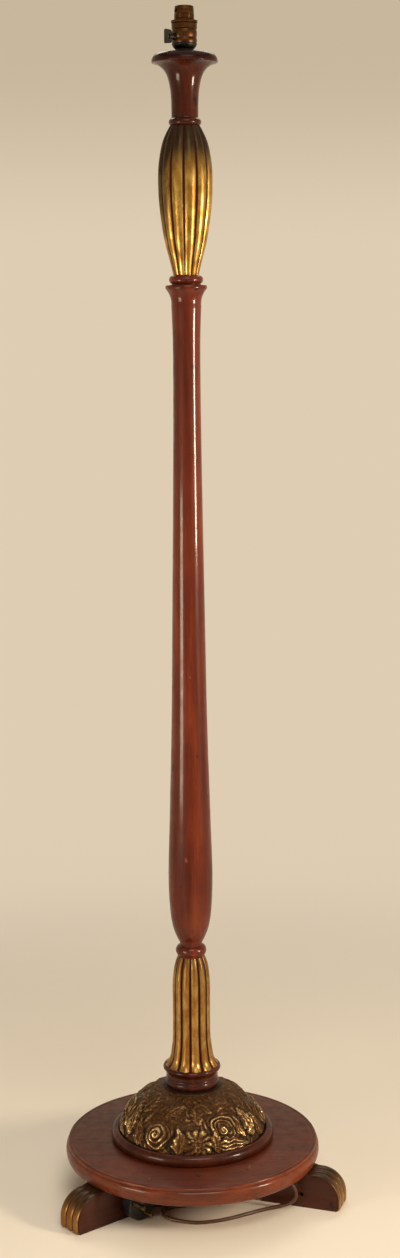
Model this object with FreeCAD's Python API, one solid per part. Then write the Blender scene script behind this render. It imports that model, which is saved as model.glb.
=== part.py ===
"""Candlestick floor lamp: a turned mahogany standard with gilt reeding, a carved dome,
three scroll feet, a switched bayonet lampholder and a flex with a round-pin plug.

Millimetres. The origin is on the floor under the stem's axis, +Z up, the front is -Y.
"""
import FreeCAD
import Part
import math
import os

V = FreeCAD.Vector
UP = V(0, 0, 1)

# ---------------------------------------------------------------- driving dimensions
# flex and its way through the stand
FLEX_DIAMETER = 5.0
BORE_RADIUS = 4.5                 # the hole bored through every turned piece
FLEX_BEND = 18.0                  # radius where the flex turns out under the plinth
FLEX_DROP = 4.3                   # flex centre below the plinth's underside
FLEX_ANGLE = -33.5                # the way it runs out under the plinth, degrees from +X
FLEX_REACH = 140.0                # from the stem's axis to where it leaves the last sleeve
MOUTH_RADIUS = 14.0               # recess under the plinth where the flex bends
MOUTH_DEPTH = 10.0

# joints between turned pieces
GLUE_GAP = 0.1                    # radial, round a tenon
GLUE_ROOM = 0.5                   # past a tenon's end
UPPER_TENON_RADIUS = 10.0
UPPER_TENON_LENGTH = 28.0
COLUMN_TENON_RADIUS = 16.0
COLUMN_TENON_IN_PLINTH = 12.0

# feet
FOOT_HEIGHT = 48.2
FOOT_WIDTH = 40.0
FOOT_UNDER = 70.0                 # length under the plinth
FOOT_PAST = 42.2                  # length past the plinth's rim
FOOT_ROUND = 34.0                 # radius of the rounded outer end
FOOT_TOE = 5.0                    # small round between that end and the sole
FOOT_REED_GROOVE = 2.2            # radius of the two grooves between a foot's reeds
FOOT_EDGE_ROUND = 3.5             # the outer reeds roll down to the sides
BACK_FOOT_ANGLE = 100.35
FOOT_COUNT = 3
FOOT_HOLE = (2.8, 14.0)           # radius and depth of a screw hole in the right foot's front side
FOOT_HOLE_PLACE = 54.2            # from the outer end
FOOT_HOLE_HEIGHT = 18.5

# plinth
PLINTH_RADIUS = 178.0
PLINTH_THICKNESS = 26.0
PLINTH_LIP = 5.0                  # height of the rounded lip above the quirk
PLINTH_QUIRK = 2.0                # depth and height of the step under that lip

# carved dome and its ring
DOME_RADIUS = 104.0
DOME_HEIGHT = 77.5
DOME_SWELL = 83.5                 # the height that its elliptical side would reach on the axis
DOME_RING_RADIUS = 114.0
DOME_RING_HEIGHT = 16.0

# column
RING_HEIGHT = 13.3
RING_RADIUS = 37.3
COLUMN_HEIGHT = 172.8
COLUMN_REED_RADIUS = 26.4
COLUMN_TOP_RADIUS = 18.7
COLUMN_LIP_RADIUS = 39.7
COLUMN_WAIST_RADIUS = 36.2
REED_COUNT = 12
COLUMN_REED_DEPTH = 0.13          # groove depth as a part of the radius there
BULB_REED_DEPTH = 0.09
REED_PHASE = -94.0                # a groove lies just left of the front

# shaft
SHAFT_HEIGHT = 930.1
SHAFT_BELLY_RADIUS = 30.4
SHAFT_WAIST_RADIUS = 18.2
SHAFT_LIP_RADIUS = 27.2
LOWER_BEAD_RADIUS = 21.2
LOWER_BEAD_HEIGHT = 20.0
COLLAR_BEAD_RADIUS = 22.5
COLLAR_BEAD_HEIGHT = 11.0

# bulb and cup
BULB_HEIGHT = 191.2
BULB_RADIUS = 36.3
BULB_FOOT_RADIUS = 16.8
BULB_TOP_RADIUS = 19.9
CUP_HEIGHT = 91.2
CUP_RIM_RADIUS = 43.0
CUP_NECK_RADIUS = 17.4
NECK_BEAD_RADIUS = 21.2
NECK_BEAD_HEIGHT = 10.0

# lampholder
NIPPLE_RADIUS = 6.35
NIPPLE_BORE = 3.5
NIPPLE_DEPTH = 20.0               # in the cup
NIPPLE_STAND = 7.0                # above the cup
NIPPLE_FLANGE = (9.5, 1.5)        # radius and thickness, let into the cup
THREAD_GAP = 0.05
SHELL_WALL = 1.3
HOLDER_RADIUS = 16.4
HOLDER_NECK_RADIUS = 11.6
CAP_HEIGHT = 12.3
HOUSING_HEIGHT = 17.0
SKIRT_HEIGHT = 8.0
SOCKET_LENGTH = 21.6              # bayonet tube above the skirt
SOCKET_RADIUS = 11.1              # inside, for a 22 mm bayonet cap
SOCKET_OUTER = 13.0
SOCKET_LIP_OUTER = 11.9
SOCKET_GRIP = 13.5                # length of the close-fitting mouth
SLOT_WIDTH = 3.0
SLOT_DEPTH = 8.0
SLOT_TURN = 22.0                  # degrees the slot turns before it rises into its rest
SLOT_ANGLE = 195.0
SHADE_RING_RADIUS = 17.1
SHADE_RING_HEIGHT = 3.0
RUN_GAP = 0.3
TURN_GAP = 0.05

# insulator and contacts
CORE_FLANGE = 15.0
CORE_TOP = 12.5                   # above the housing
CHAMBER_OFFSET = 5.6
CHAMBER_RADIUS = 2.35
PLUNGER_RADIUS = 1.8
PLUNGER_STAND = 3.4
SPRING_LENGTH = 7.0
SPRING_WIRE = 0.5
SPRING_TURNS = 6
TERMINAL_HEIGHT = 5.0

# switch
KEY_ANGLE = 215.0
KEY_REACH = 30.8
KEY_HEIGHT = 18.0
KEY_THICKNESS = 2.4
KEY_HUB = 3.2
SPINDLE_RADIUS = 1.5
BUSH_RADIUS = 3.4
CAM_RADIUS = 3.4
LOCK_SCREW_ANGLE = 243.5

# screws
FOOT_SCREW_RADIUS = 2.4
FOOT_SCREW_BITE = 16.0
FOOT_SCREW_HEAD = 4.6
FOOT_COUNTERBORE = 24.0
FOOT_SCREW_INSET = 30.0           # first screw from the foot's inner end
FOOT_SCREW_PITCH = 26.0
DOME_SCREW_RADIUS = 2.2
DOME_SCREW_LENGTH = 50.0
DOME_SCREW_CIRCLE = 70.0
DOME_SCREW_ANGLE = 20.0
DOME_SCREW_COUNT = 4
SCREW_GAP = 0.05

# saddles that hold the flex under the plinth
SADDLE_WIDTH = 8.0
SADDLE_EAR = 8.5                  # past the strap, on the side away from the foot
SADDLE_PLATE = 1.2
SADDLE_SCREW = 1.3
SADDLE_SCREW_BITE = 9.0
SLEEVE_LENGTH = 26.0
SLEEVE_RADIUS = 4.2
SLEEVE_TIP = 3.1
INNER_SADDLE_PLACE = 62.0

# plug with three round pins, lying on edge against the front left foot
PLUG_RADIUS = 22.5
PLUG_BASE = 10.0
PLUG_COVER = 10.0
PLUG_EDGE = 3.0
LINE_PIN = (2.54, 14.9)           # radius and length
EARTH_PIN = (3.53, 20.6)
LINE_PIN_SPACING = 19.05
EARTH_PIN_DISTANCE = 22.2
LINE_PIN_DROP = 7.5
PLUG_ALONG_FOOT = 124.0
PLUG_OFF_FOOT = 0.5
PLUG_SLEEVE_LENGTH = 20.0
PLUG_SLEEVE_RUN = 11.3            # the flex runs on straight past the sleeve's tip
PLUG_ROLL = 22.0                  # the plug is rolled so that its flex lies down to the floor

# free flex on the floor: corner points of its route, from the sleeve to the coil
FLEX_RADIUS = FLEX_DIAMETER / 2
FLOOR_LEVEL = FLEX_RADIUS + 0.1
RUN_POINTS = [
    (130.0, -86.0, 43.4), (140.5, -89.5, 33.8), (142.5, -87.0, 19.8), (134.5, -82.5, 8.8),
    (121.5, -80.5, 4.6), (100.5, -86.0, 3.1), (86.3, -93.2, 2.8), (71.0, -101.9, FLOOR_LEVEL),
    (52.0, -112.5, FLOOR_LEVEL), (32.3, -120.4, FLOOR_LEVEL), (10.5, -125.7, FLOOR_LEVEL),
    (-9.5, -123.0, FLOOR_LEVEL), (-26.5, -116.3, FLOOR_LEVEL), (-38.0, -108.3, FLOOR_LEVEL),
    (-42.5, -97.0, FLOOR_LEVEL), (-39.3, -85.1, FLOOR_LEVEL), (-29.7, -77.4, FLOOR_LEVEL),
    (-17.0, -74.6, FLOOR_LEVEL), (0.0, -68.0, FLOOR_LEVEL), (19.0, -58.5, FLOOR_LEVEL),
    (36.5, -44.5, FLOOR_LEVEL), (47.2, -27.5, FLOOR_LEVEL), (51.8, -9.2, FLOOR_LEVEL),
]
# the spare length is wound into a neat coil under the middle of the plinth
COIL_CENTRE = (15.0, 12.0)
COIL_OUTER = 37.5
COIL_PITCH = 5.5
COIL_TURNS_IN = 3.75
COIL_TURNS_CLIMB = 0.5
COIL_TURNS_OUT = 4.25
COIL_LEAD_IN = 18.0
# from the coil to the plug
TAIL_POINTS = [
    (-25.7, -7.0, 7.2), (-26.0, -21.0, 3.6), (-25.7, -34.5, FLOOR_LEVEL),
    (-26.3, -48.0, FLOOR_LEVEL), (-29.8, -61.0, FLOOR_LEVEL),
]

# ---------------------------------------------------------------- places that follow from them
FOOT_INNER = PLINTH_RADIUS - FOOT_UNDER
FOOT_REACH = PLINTH_RADIUS + FOOT_PAST
Z_PLINTH = FOOT_HEIGHT
Z_PLINTH_TOP = Z_PLINTH + PLINTH_THICKNESS
Z_DOME_TOP = Z_PLINTH_TOP + DOME_HEIGHT
Z_COLUMN = Z_DOME_TOP + RING_HEIGHT
Z_SHAFT = Z_COLUMN + COLUMN_HEIGHT
Z_BULB = Z_SHAFT + SHAFT_HEIGHT
Z_CUP = Z_BULB + BULB_HEIGHT
Z_CUP_TOP = Z_CUP + CUP_HEIGHT
Z_HOUSING = Z_CUP_TOP + CAP_HEIGHT
Z_SHELL = Z_HOUSING + HOUSING_HEIGHT
Z_SOCKET = Z_SHELL + SKIRT_HEIGHT
Z_LAMP_TOP = Z_SOCKET + SOCKET_LENGTH
Z_KEY = Z_HOUSING + 0.43 * HOUSING_HEIGHT
Z_FLEX = Z_PLINTH - FLEX_DROP


# ---------------------------------------------------------------- helpers
def save(node, shape):
    shape.exportStep("parts/" + node + ".step")
    return shape


def cylinder(radius, bottom, height):
    return Part.makeCylinder(radius, height, V(0, 0, bottom))


def rod(radius, start, end):
    """A cylinder from one point to another."""
    way = end - start
    return Part.makeCylinder(radius, way.Length, start, way)


def flat(angle):
    """The level direction at an angle from +X."""
    return V(math.cos(math.radians(angle)), math.sin(math.radians(angle)), 0)


def turn(shape, angle):
    """A copy turned about the stem's axis."""
    copy = shape.copy()
    copy.rotate(V(0, 0, 0), UP, angle)
    return copy


def all_of(shapes):
    """Separate solids kept as one group."""
    return Part.makeCompound(shapes)


class Outline:
    """A half profile in the XZ plane, drawn as (radius, height) from a first point."""

    def __init__(self, radius, height, base=0.0):
        self.base = base
        self.last = self.point(radius, height)
        self.first = self.last
        self.edges = []

    def point(self, radius, height):
        return V(radius, 0, self.base + height)

    def line(self, radius, height):
        end = self.point(radius, height)
        self.edges.append(Part.LineSegment(self.last, end).toShape())
        self.last = end
        return self

    def arc(self, through, end):
        """An arc through a point on the way."""
        middle = self.point(*through)
        finish = self.point(*end)
        self.edges.append(Part.Arc(self.last, middle, finish).toShape())
        self.last = finish
        return self

    def bow(self, radius, height, sag):
        """An arc to a point, bowed by sag to the right of its way (outwards on a rising side)."""
        end = self.point(radius, height)
        chord = end - self.last
        middle = (end + self.last) * 0.5 + V(chord.z, 0, -chord.x).normalize() * sag
        self.edges.append(Part.Arc(self.last, middle, end).toShape())
        self.last = end
        return self

    def curve(self, points):
        """One smooth curve through the points."""
        way = [self.last] + [self.point(*p) for p in points]
        spline = Part.BSplineCurve()
        spline.interpolate(way)
        self.edges.append(spline.toShape())
        self.last = way[-1]
        return self

    def turned(self):
        """Closed back to its first point and turned about the axis."""
        if (self.last - self.first).Length > 1e-6:
            self.edges.append(Part.LineSegment(self.last, self.first).toShape())
        face = Part.Face(Part.Wire(self.edges))
        return face.revolve(V(0, 0, 0), UP, 360)


def biarc(start, start_way, end, end_way):
    """Two arcs that join smoothly, from one point and direction to another."""
    start_way = V(start_way).normalize()
    end_way = V(end_way).normalize()
    span = end - start
    ways = start_way + end_way
    a = 2 * (1 - start_way.dot(end_way))
    b = 2 * span.dot(ways)
    c = -span.dot(span)
    leg = -c / b if abs(a) < 1e-9 else (-b + math.sqrt(b * b - 4 * a * c)) / (2 * a)
    first = start + start_way * leg
    second = end - end_way * leg
    joint = (first + second) * 0.5
    return [tangent_arc(start, first, joint), tangent_arc(joint, second, end)]


def tangent_arc(start, corner, end):
    """The arc that touches both equal legs of a corner at their ends."""
    leg = corner - start
    half = (end - start) * 0.5
    mid = start + half
    rise = (corner - mid).Length
    if rise < 1e-7:
        return Part.LineSegment(start, end).toShape()
    radius = leg.Length * half.Length / rise
    sag = radius - math.sqrt(max(radius * radius - half.Length ** 2, 0))
    return Part.Arc(start, mid + (corner - mid).normalize() * sag, end).toShape()


def flex_path(points, name, radius_share=0.45):
    """Straight runs joined by tangent arcs as large as the runs allow."""
    points = [V(*p) for p in points]
    edges = []
    radii = []
    last = points[0]
    for before, corner, after in zip(points, points[1:], points[2:]):
        way_in = (corner - before).normalize()
        way_out = (after - corner).normalize()
        shorter = min((corner - before).Length, (after - corner).Length)
        turned = math.acos(max(-1, min(1, way_in.dot(way_out))))
        leg = radius_share * shorter
        radii.append(leg / math.tan(turned / 2))
        edges.append(Part.LineSegment(last, corner - way_in * leg).toShape())
        edges.append(tangent_arc(corner - way_in * leg, corner, corner + way_out * leg))
        last = corner + way_out * leg
    edges.append(Part.LineSegment(last, points[-1]).toShape())
    if radii:
        print(name, "least bend radius", round(min(radii), 1), "mm")
    return Part.Wire(edges)


def tube(wire, radius, name):
    """A round tube along a wire, with its volume compared with section times length."""
    edge = wire.OrderedEdges[0]
    start = edge.valueAt(edge.FirstParameter)
    way = edge.tangentAt(edge.FirstParameter)
    section = Part.Wire([Part.Circle(start, way, radius).toShape()])
    solid = wire.makePipeShell([section], True, False)
    share = solid.Volume / (math.pi * radius ** 2 * wire.Length)
    print(name, "length", round(wire.Length, 1), "mm, volume share", round(share, 4), solid.isValid())
    return solid


def countersunk(radius, head_radius, bottom, length):
    """A wood screw standing on its head, point up, along the axis."""
    head_height = head_radius - radius
    head = Part.makeCone(head_radius, radius, head_height, V(0, 0, bottom))
    shank = cylinder(radius, bottom + head_height, length - head_height - 2 * radius)
    point = Part.makeCone(radius, radius * 0.2, 2 * radius, V(0, 0, bottom + length - 2 * radius))
    slot = Part.makeBox(2.4 * head_radius, 0.9, 0.8)
    slot.translate(V(-1.2 * head_radius, -0.45, bottom - 0.01))
    return head.fuse(shank).fuse(point).cut(slot).removeSplitter()


def countersunk_hole(radius, head_radius, bottom, length):
    """The hole of such a screw, a clearance wider all round."""
    head_height = head_radius - radius
    head = Part.makeCone(head_radius + SCREW_GAP, radius + SCREW_GAP, head_height, V(0, 0, bottom))
    return head.fuse(cylinder(radius + SCREW_GAP, bottom, length + SCREW_GAP))


# ---------------------------------------------------------------- turned and reeded pieces
def reeded(profile, base, depth):
    """A body of rounded reeds: scalloped sections through (radius, height) pairs."""
    wires = []
    for radius, height in profile:
        edges = []
        for k in range(REED_COUNT):
            low = math.radians(REED_PHASE + k * 360 / REED_COUNT)
            high = low + 2 * math.pi / REED_COUNT
            crest = (low + high) / 2
            groove = radius * (1 - depth)
            z = base + height
            edges.append(Part.Arc(
                V(groove * math.cos(low), groove * math.sin(low), z),
                V(radius * math.cos(crest), radius * math.sin(crest), z),
                V(groove * math.cos(high), groove * math.sin(high), z)).toShape())
        wires.append(Part.Wire(edges))
    return Part.makeLoft(wires, True, False)


def socket_cut(radius, length, top):
    """The hole for a tenon, open at its top."""
    return cylinder(radius + GLUE_GAP, top - length - GLUE_ROOM, length + GLUE_ROOM)


def bored(shape, bottom, top):
    """The flex's hole through a piece."""
    return shape.cut(cylinder(BORE_RADIUS, bottom, top - bottom))


def make_shaft():
    base = Z_SHAFT
    bead = LOWER_BEAD_HEIGHT
    neck = 15.4
    lip = SHAFT_HEIGHT - COLLAR_BEAD_HEIGHT
    side = Outline(UPPER_TENON_RADIUS, -UPPER_TENON_LENGTH, base)
    side.line(UPPER_TENON_RADIUS, 0).line(COLUMN_TOP_RADIUS, 0)
    side.line(COLUMN_TOP_RADIUS, 2.0)
    side.bow(COLUMN_TOP_RADIUS, 14.5, LOWER_BEAD_RADIUS - COLUMN_TOP_RADIUS)
    side.line(neck, 15.5).line(neck, bead - 0.5)
    side.curve([(SHAFT_BELLY_RADIUS - 8.3, bead + 13.6), (SHAFT_BELLY_RADIUS - 2.1, bead + 44.2),
                (SHAFT_BELLY_RADIUS, bead + 87.7), (SHAFT_BELLY_RADIUS - 1.7, bead + 158),
                (27.1, bead + 213.5), (25.7, bead + 259), (22.6, bead + 423.5), (20.5, bead + 566.5),
                (SHAFT_WAIST_RADIUS + 0.6, bead + 696.5), (SHAFT_WAIST_RADIUS, bead + 789),
                (SHAFT_WAIST_RADIUS + 0.7, bead + 847.5), (SHAFT_WAIST_RADIUS + 1.7, bead + 869.7)])
    side.bow(SHAFT_LIP_RADIUS - 1.2, lip - 8.0, -2.2)
    side.bow(SHAFT_LIP_RADIUS - 0.6, lip - 2.0, 1.2)
    side.line(COLLAR_BEAD_RADIUS - 3.4, lip - 1.0).line(COLLAR_BEAD_RADIUS - 3.4, lip)
    side.bow(COLLAR_BEAD_RADIUS - 3.4, SHAFT_HEIGHT - 0.5, 3.4)
    side.line(COLLAR_BEAD_RADIUS - 4.4, SHAFT_HEIGHT).line(0, SHAFT_HEIGHT)
    side.line(0, -UPPER_TENON_LENGTH)
    shaft = side.turned()
    shaft = shaft.cut(socket_cut(UPPER_TENON_RADIUS, UPPER_TENON_LENGTH, Z_BULB))
    return bored(shaft, Z_SHAFT - UPPER_TENON_LENGTH, Z_BULB)


def make_bulb():
    top = BULB_HEIGHT
    body = reeded([(BULB_FOOT_RADIUS, 0), (BULB_FOOT_RADIUS + 4.4, 18), (BULB_FOOT_RADIUS + 10.3, 40),
                   (BULB_FOOT_RADIUS + 15.0, 66), (BULB_RADIUS - 1.3, 93), (BULB_RADIUS - 0.2, 119),
                   (BULB_RADIUS - 0.7, 138), (BULB_RADIUS - 3.1, 156), (BULB_RADIUS - 7.7, 174),
                   (BULB_TOP_RADIUS, top)], Z_BULB, BULB_REED_DEPTH)
    tenon = cylinder(UPPER_TENON_RADIUS, Z_BULB - UPPER_TENON_LENGTH, UPPER_TENON_LENGTH + 1)
    body = body.fuse(tenon)
    body = body.cut(socket_cut(UPPER_TENON_RADIUS, UPPER_TENON_LENGTH, Z_CUP))
    return bored(body, Z_BULB - UPPER_TENON_LENGTH, Z_CUP)


def make_cup():
    rim = CUP_HEIGHT - 10.8
    side = Outline(UPPER_TENON_RADIUS, -UPPER_TENON_LENGTH, Z_CUP)
    side.line(UPPER_TENON_RADIUS, 0).line(NECK_BEAD_RADIUS - 3.1, 0)
    side.bow(NECK_BEAD_RADIUS - 3.1, NECK_BEAD_HEIGHT - 1.0, 3.1)
    side.line(CUP_NECK_RADIUS, NECK_BEAD_HEIGHT)
    side.curve([(CUP_NECK_RADIUS + 0.2, 27), (CUP_NECK_RADIUS + 1.1, 42), (CUP_NECK_RADIUS + 3.7, 57),
                (CUP_NECK_RADIUS + 6.5, 65), (CUP_NECK_RADIUS + 11.8, 72.5),
                (CUP_RIM_RADIUS - 8.1, rim - 3.8), (CUP_RIM_RADIUS - 1.4, rim - 1.6)])
    side.bow(CUP_RIM_RADIUS, rim, 0.5)
    side.bow(CUP_RIM_RADIUS - 6.2, CUP_HEIGHT - 0.7, 1.7)
    side.line(CUP_RIM_RADIUS - 8.5, CUP_HEIGHT).line(0, CUP_HEIGHT)
    side.line(0, -UPPER_TENON_LENGTH)
    cup = bored(side.turned(), Z_CUP - UPPER_TENON_LENGTH, Z_CUP_TOP)
    flange_radius, flange = NIPPLE_FLANGE
    cup = cup.cut(cylinder(NIPPLE_RADIUS + THREAD_GAP, Z_CUP_TOP - NIPPLE_DEPTH, NIPPLE_DEPTH))
    return cup.cut(cylinder(flange_radius + THREAD_GAP, Z_CUP_TOP - flange, flange))


def make_column():
    waist = 1.5
    lip = 14.4
    reeds = reeded([(COLUMN_LIP_RADIUS - 2.3, lip + 0.6), (COLUMN_LIP_RADIUS - 7.8, lip + 8.3),
                    (COLUMN_REED_RADIUS + 2.9, lip + 19), (COLUMN_REED_RADIUS + 0.8, lip + 35),
                    (COLUMN_REED_RADIUS - 0.1, lip + 58), (COLUMN_REED_RADIUS, lip + 99),
                    (COLUMN_REED_RADIUS - 0.2, lip + 122), (COLUMN_REED_RADIUS - 1.3, COLUMN_HEIGHT - 24),
                    (COLUMN_REED_RADIUS - 3.8, COLUMN_HEIGHT - 10),
                    (COLUMN_TOP_RADIUS, COLUMN_HEIGHT)], Z_COLUMN, COLUMN_REED_DEPTH)
    side = Outline(0, 0, Z_COLUMN)
    side.line(COLUMN_WAIST_RADIUS, 0).line(COLUMN_WAIST_RADIUS, waist)
    side.bow(COLUMN_LIP_RADIUS - 1.0, lip - 5.4, -1.2)
    side.bow(COLUMN_LIP_RADIUS - 2.2, lip + 1.0, 2.0)
    side.line(0, lip + 1.0)
    column = side.turned().fuse(reeds)
    tenon_length = Z_COLUMN - Z_PLINTH_TOP + COLUMN_TENON_IN_PLINTH
    column = column.fuse(cylinder(COLUMN_TENON_RADIUS, Z_COLUMN - tenon_length, tenon_length + 1))
    column = column.cut(socket_cut(UPPER_TENON_RADIUS, UPPER_TENON_LENGTH, Z_SHAFT))
    return bored(column, Z_COLUMN - tenon_length, Z_SHAFT)


def make_column_ring():
    side = Outline(COLUMN_TENON_RADIUS + GLUE_GAP, 0, Z_DOME_TOP)
    side.line(RING_RADIUS - 2.5, 0)
    side.bow(RING_RADIUS - 1.5, RING_HEIGHT - 3.5, 2.0)
    side.line(RING_RADIUS - 2.6, RING_HEIGHT).line(COLUMN_TENON_RADIUS + GLUE_GAP, RING_HEIGHT)
    return side.turned()


def make_dome():
    """A cushion with an elliptical side, cut off level for the column's ring."""
    hole = COLUMN_TENON_RADIUS + GLUE_GAP
    top_radius = DOME_RADIUS * math.sqrt(1 - (DOME_HEIGHT / DOME_SWELL) ** 2)
    side = Outline(hole, 0, Z_PLINTH_TOP).line(DOME_RADIUS, 0)
    ellipse = Part.Ellipse(V(DOME_RADIUS, 0, Z_PLINTH_TOP), V(0, 0, Z_PLINTH_TOP + DOME_SWELL),
                           V(0, 0, Z_PLINTH_TOP))
    start = ellipse.parameter(side.last)
    end_point = side.point(top_radius, DOME_HEIGHT)
    end = ellipse.parameter(end_point)
    side.edges.append(Part.Edge(ellipse, start, end))
    side.last = end_point
    side.line(hole, DOME_HEIGHT)
    return side.turned()


def make_dome_ring():
    inner = DOME_RADIUS + GLUE_GAP
    width = DOME_RING_RADIUS - inner
    side = Outline(inner, 0, Z_PLINTH_TOP).line(DOME_RING_RADIUS - 3.4, 0)
    side.bow(inner + 0.35 * width, DOME_RING_HEIGHT, 0.5 * width)
    side.line(inner, DOME_RING_HEIGHT - 1.0)
    return side.turned()


def make_plinth():
    top = PLINTH_THICKNESS
    lip = top - PLINTH_LIP
    side = Outline(0, 0, Z_PLINTH).line(PLINTH_RADIUS - 6, 0)
    side.bow(PLINTH_RADIUS - 1.2, 5.5, 1.2)
    side.bow(PLINTH_RADIUS - 1.5, lip - PLINTH_QUIRK, 1.2)
    side.line(PLINTH_RADIUS - 1.5 - PLINTH_QUIRK, lip)
    side.bow(PLINTH_RADIUS - 6.5, top, 1.6)
    side.line(PLINTH_RADIUS - 8.5, top - 0.8).line(PLINTH_RADIUS - 10.5, top - 0.4)
    side.line(PLINTH_RADIUS - 12.5, top).line(0, top)
    plinth = side.turned()
    plinth = plinth.cut(socket_cut(COLUMN_TENON_RADIUS, COLUMN_TENON_IN_PLINTH, Z_PLINTH_TOP))
    plinth = plinth.cut(cylinder(MOUTH_RADIUS, Z_PLINTH, MOUTH_DEPTH))
    plinth = bored(plinth, Z_PLINTH, Z_PLINTH_TOP)
    for hole in foot_screw_holes() + dome_screw_holes() + saddle_screw_holes():
        plinth = plinth.cut(hole)
    return plinth


# ---------------------------------------------------------------- feet
def foot_angles():
    return [BACK_FOOT_ANGLE + k * 360 / FOOT_COUNT for k in range(FOOT_COUNT)]


def foot_screw_places():
    return [FOOT_INNER + FOOT_SCREW_INSET + k * FOOT_SCREW_PITCH for k in range(2)]


def make_foot(angle, holed=False):
    """A block with a quarter-round outer end carved into three reeds, along +X, then turned."""
    centre_x = FOOT_REACH - FOOT_ROUND
    centre_z = FOOT_HEIGHT - FOOT_ROUND
    slant = math.sqrt(0.5)
    half = FOOT_WIDTH / 2
    start = V(FOOT_INNER, -half, 0)
    toe = V(FOOT_REACH - FOOT_TOE, -half, 0)
    toe_mid = V(FOOT_REACH - FOOT_TOE * (1 - slant), -half, FOOT_TOE * (1 - slant))
    front = V(FOOT_REACH, -half, FOOT_TOE)
    front_top = V(FOOT_REACH, -half, centre_z)
    round_mid = V(centre_x + FOOT_ROUND * slant, -half, centre_z + FOOT_ROUND * slant)
    round_top = V(centre_x, -half, FOOT_HEIGHT)
    inner_top = V(FOOT_INNER, -half, FOOT_HEIGHT)
    edges = [Part.LineSegment(start, toe).toShape(), Part.Arc(toe, toe_mid, front).toShape(),
             Part.LineSegment(front, front_top).toShape(),
             Part.Arc(front_top, round_mid, round_top).toShape(),
             Part.LineSegment(round_top, inner_top).toShape(),
             Part.LineSegment(inner_top, start).toShape()]
    foot = Part.Face(Part.Wire(edges)).extrude(V(0, FOOT_WIDTH, 0))
    axis_point = V(centre_x, 0, centre_z)
    for side in (-1, 1):
        # the groove between two reeds, round the end and on down to the toe
        y = side * FOOT_WIDTH / 6
        ring = Part.Circle(V(FOOT_REACH + 0.4, y, centre_z), UP, FOOT_REED_GROOVE)
        disc = Part.Face(Part.Wire([ring.toShape()]))
        foot = foot.cut(disc.revolve(axis_point, V(0, -1, 0), 90))
        foot = foot.cut(disc.extrude(V(0, 0, -centre_z)))
        # the outer reed rolls down to the foot's side
        corner = Part.Face(Part.Wire([
            Part.LineSegment(V(FOOT_REACH - FOOT_EDGE_ROUND, side * half, centre_z),
                             V(FOOT_REACH, side * half, centre_z)).toShape(),
            Part.LineSegment(V(FOOT_REACH, side * half, centre_z),
                             V(FOOT_REACH, side * (half - FOOT_EDGE_ROUND), centre_z)).toShape(),
            Part.Arc(V(FOOT_REACH, side * (half - FOOT_EDGE_ROUND), centre_z),
                     V(FOOT_REACH - FOOT_EDGE_ROUND * (1 - slant),
                       side * (half - FOOT_EDGE_ROUND * (1 - slant)), centre_z),
                     V(FOOT_REACH - FOOT_EDGE_ROUND, side * half, centre_z)).toShape()]))
        foot = foot.cut(corner.revolve(axis_point, V(0, -1, 0), 90))
        foot = foot.cut(corner.extrude(V(0, 0, -centre_z)))
    for x in foot_screw_places():
        foot = foot.cut(Part.makeCylinder(FOOT_SCREW_HEAD + 0.6, FOOT_COUNTERBORE, V(x, 0, 0)))
        hole = countersunk_hole(FOOT_SCREW_RADIUS, FOOT_SCREW_HEAD, FOOT_COUNTERBORE, FOOT_HEIGHT)
        hole.translate(V(x, 0, 0))
        foot = foot.cut(hole)
    if holed:
        radius, depth = FOOT_HOLE
        mouth = V(FOOT_REACH - FOOT_HOLE_PLACE, -half - 1, FOOT_HOLE_HEIGHT)
        foot = foot.cut(Part.makeCylinder(radius, depth + 1, mouth, V(0, 1, 0)))
    return turn(foot, angle)


def foot_screw_length():
    return FOOT_HEIGHT - FOOT_COUNTERBORE + FOOT_SCREW_BITE


def make_foot_screws():
    screws = []
    for angle in foot_angles():
        for x in foot_screw_places():
            screw = countersunk(FOOT_SCREW_RADIUS, FOOT_SCREW_HEAD, FOOT_COUNTERBORE, foot_screw_length())
            screw.translate(V(x, 0, 0))
            screws.append(turn(screw, angle))
    return all_of(screws)


def foot_screw_holes():
    holes = []
    for angle in foot_angles():
        for x in foot_screw_places():
            hole = cylinder(FOOT_SCREW_RADIUS + SCREW_GAP, Z_PLINTH, FOOT_SCREW_BITE + SCREW_GAP)
            hole.translate(V(x, 0, 0))
            holes.append(turn(hole, angle))
    return holes


# ---------------------------------------------------------------- dome screws
def dome_screw_angles():
    return [DOME_SCREW_ANGLE + k * 360 / DOME_SCREW_COUNT for k in range(DOME_SCREW_COUNT)]


def around_dome(shape):
    copies = []
    for angle in dome_screw_angles():
        copy = shape.copy()
        copy.translate(V(DOME_SCREW_CIRCLE, 0, 0))
        copies.append(turn(copy, angle))
    return copies


def dome_screw_holes():
    return around_dome(countersunk_hole(DOME_SCREW_RADIUS, 2 * DOME_SCREW_RADIUS, Z_PLINTH,
                                        DOME_SCREW_LENGTH))


# ---------------------------------------------------------------- flex under the plinth
def along_flex(distance, side=0.0, height=0.0):
    """A point under the plinth: out along the flex, across it, above its centre."""
    return flat(FLEX_ANGLE) * distance + flat(FLEX_ANGLE + 90) * side + V(0, 0, Z_FLEX + height)


def outer_saddle_place():
    return FLEX_REACH - SLEEVE_LENGTH + SADDLE_WIDTH


def saddles():
    """Each saddle's place along the flex and the radius of what it holds."""
    return [(INNER_SADDLE_PLACE, FLEX_RADIUS), (outer_saddle_place(), SLEEVE_RADIUS)]


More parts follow.
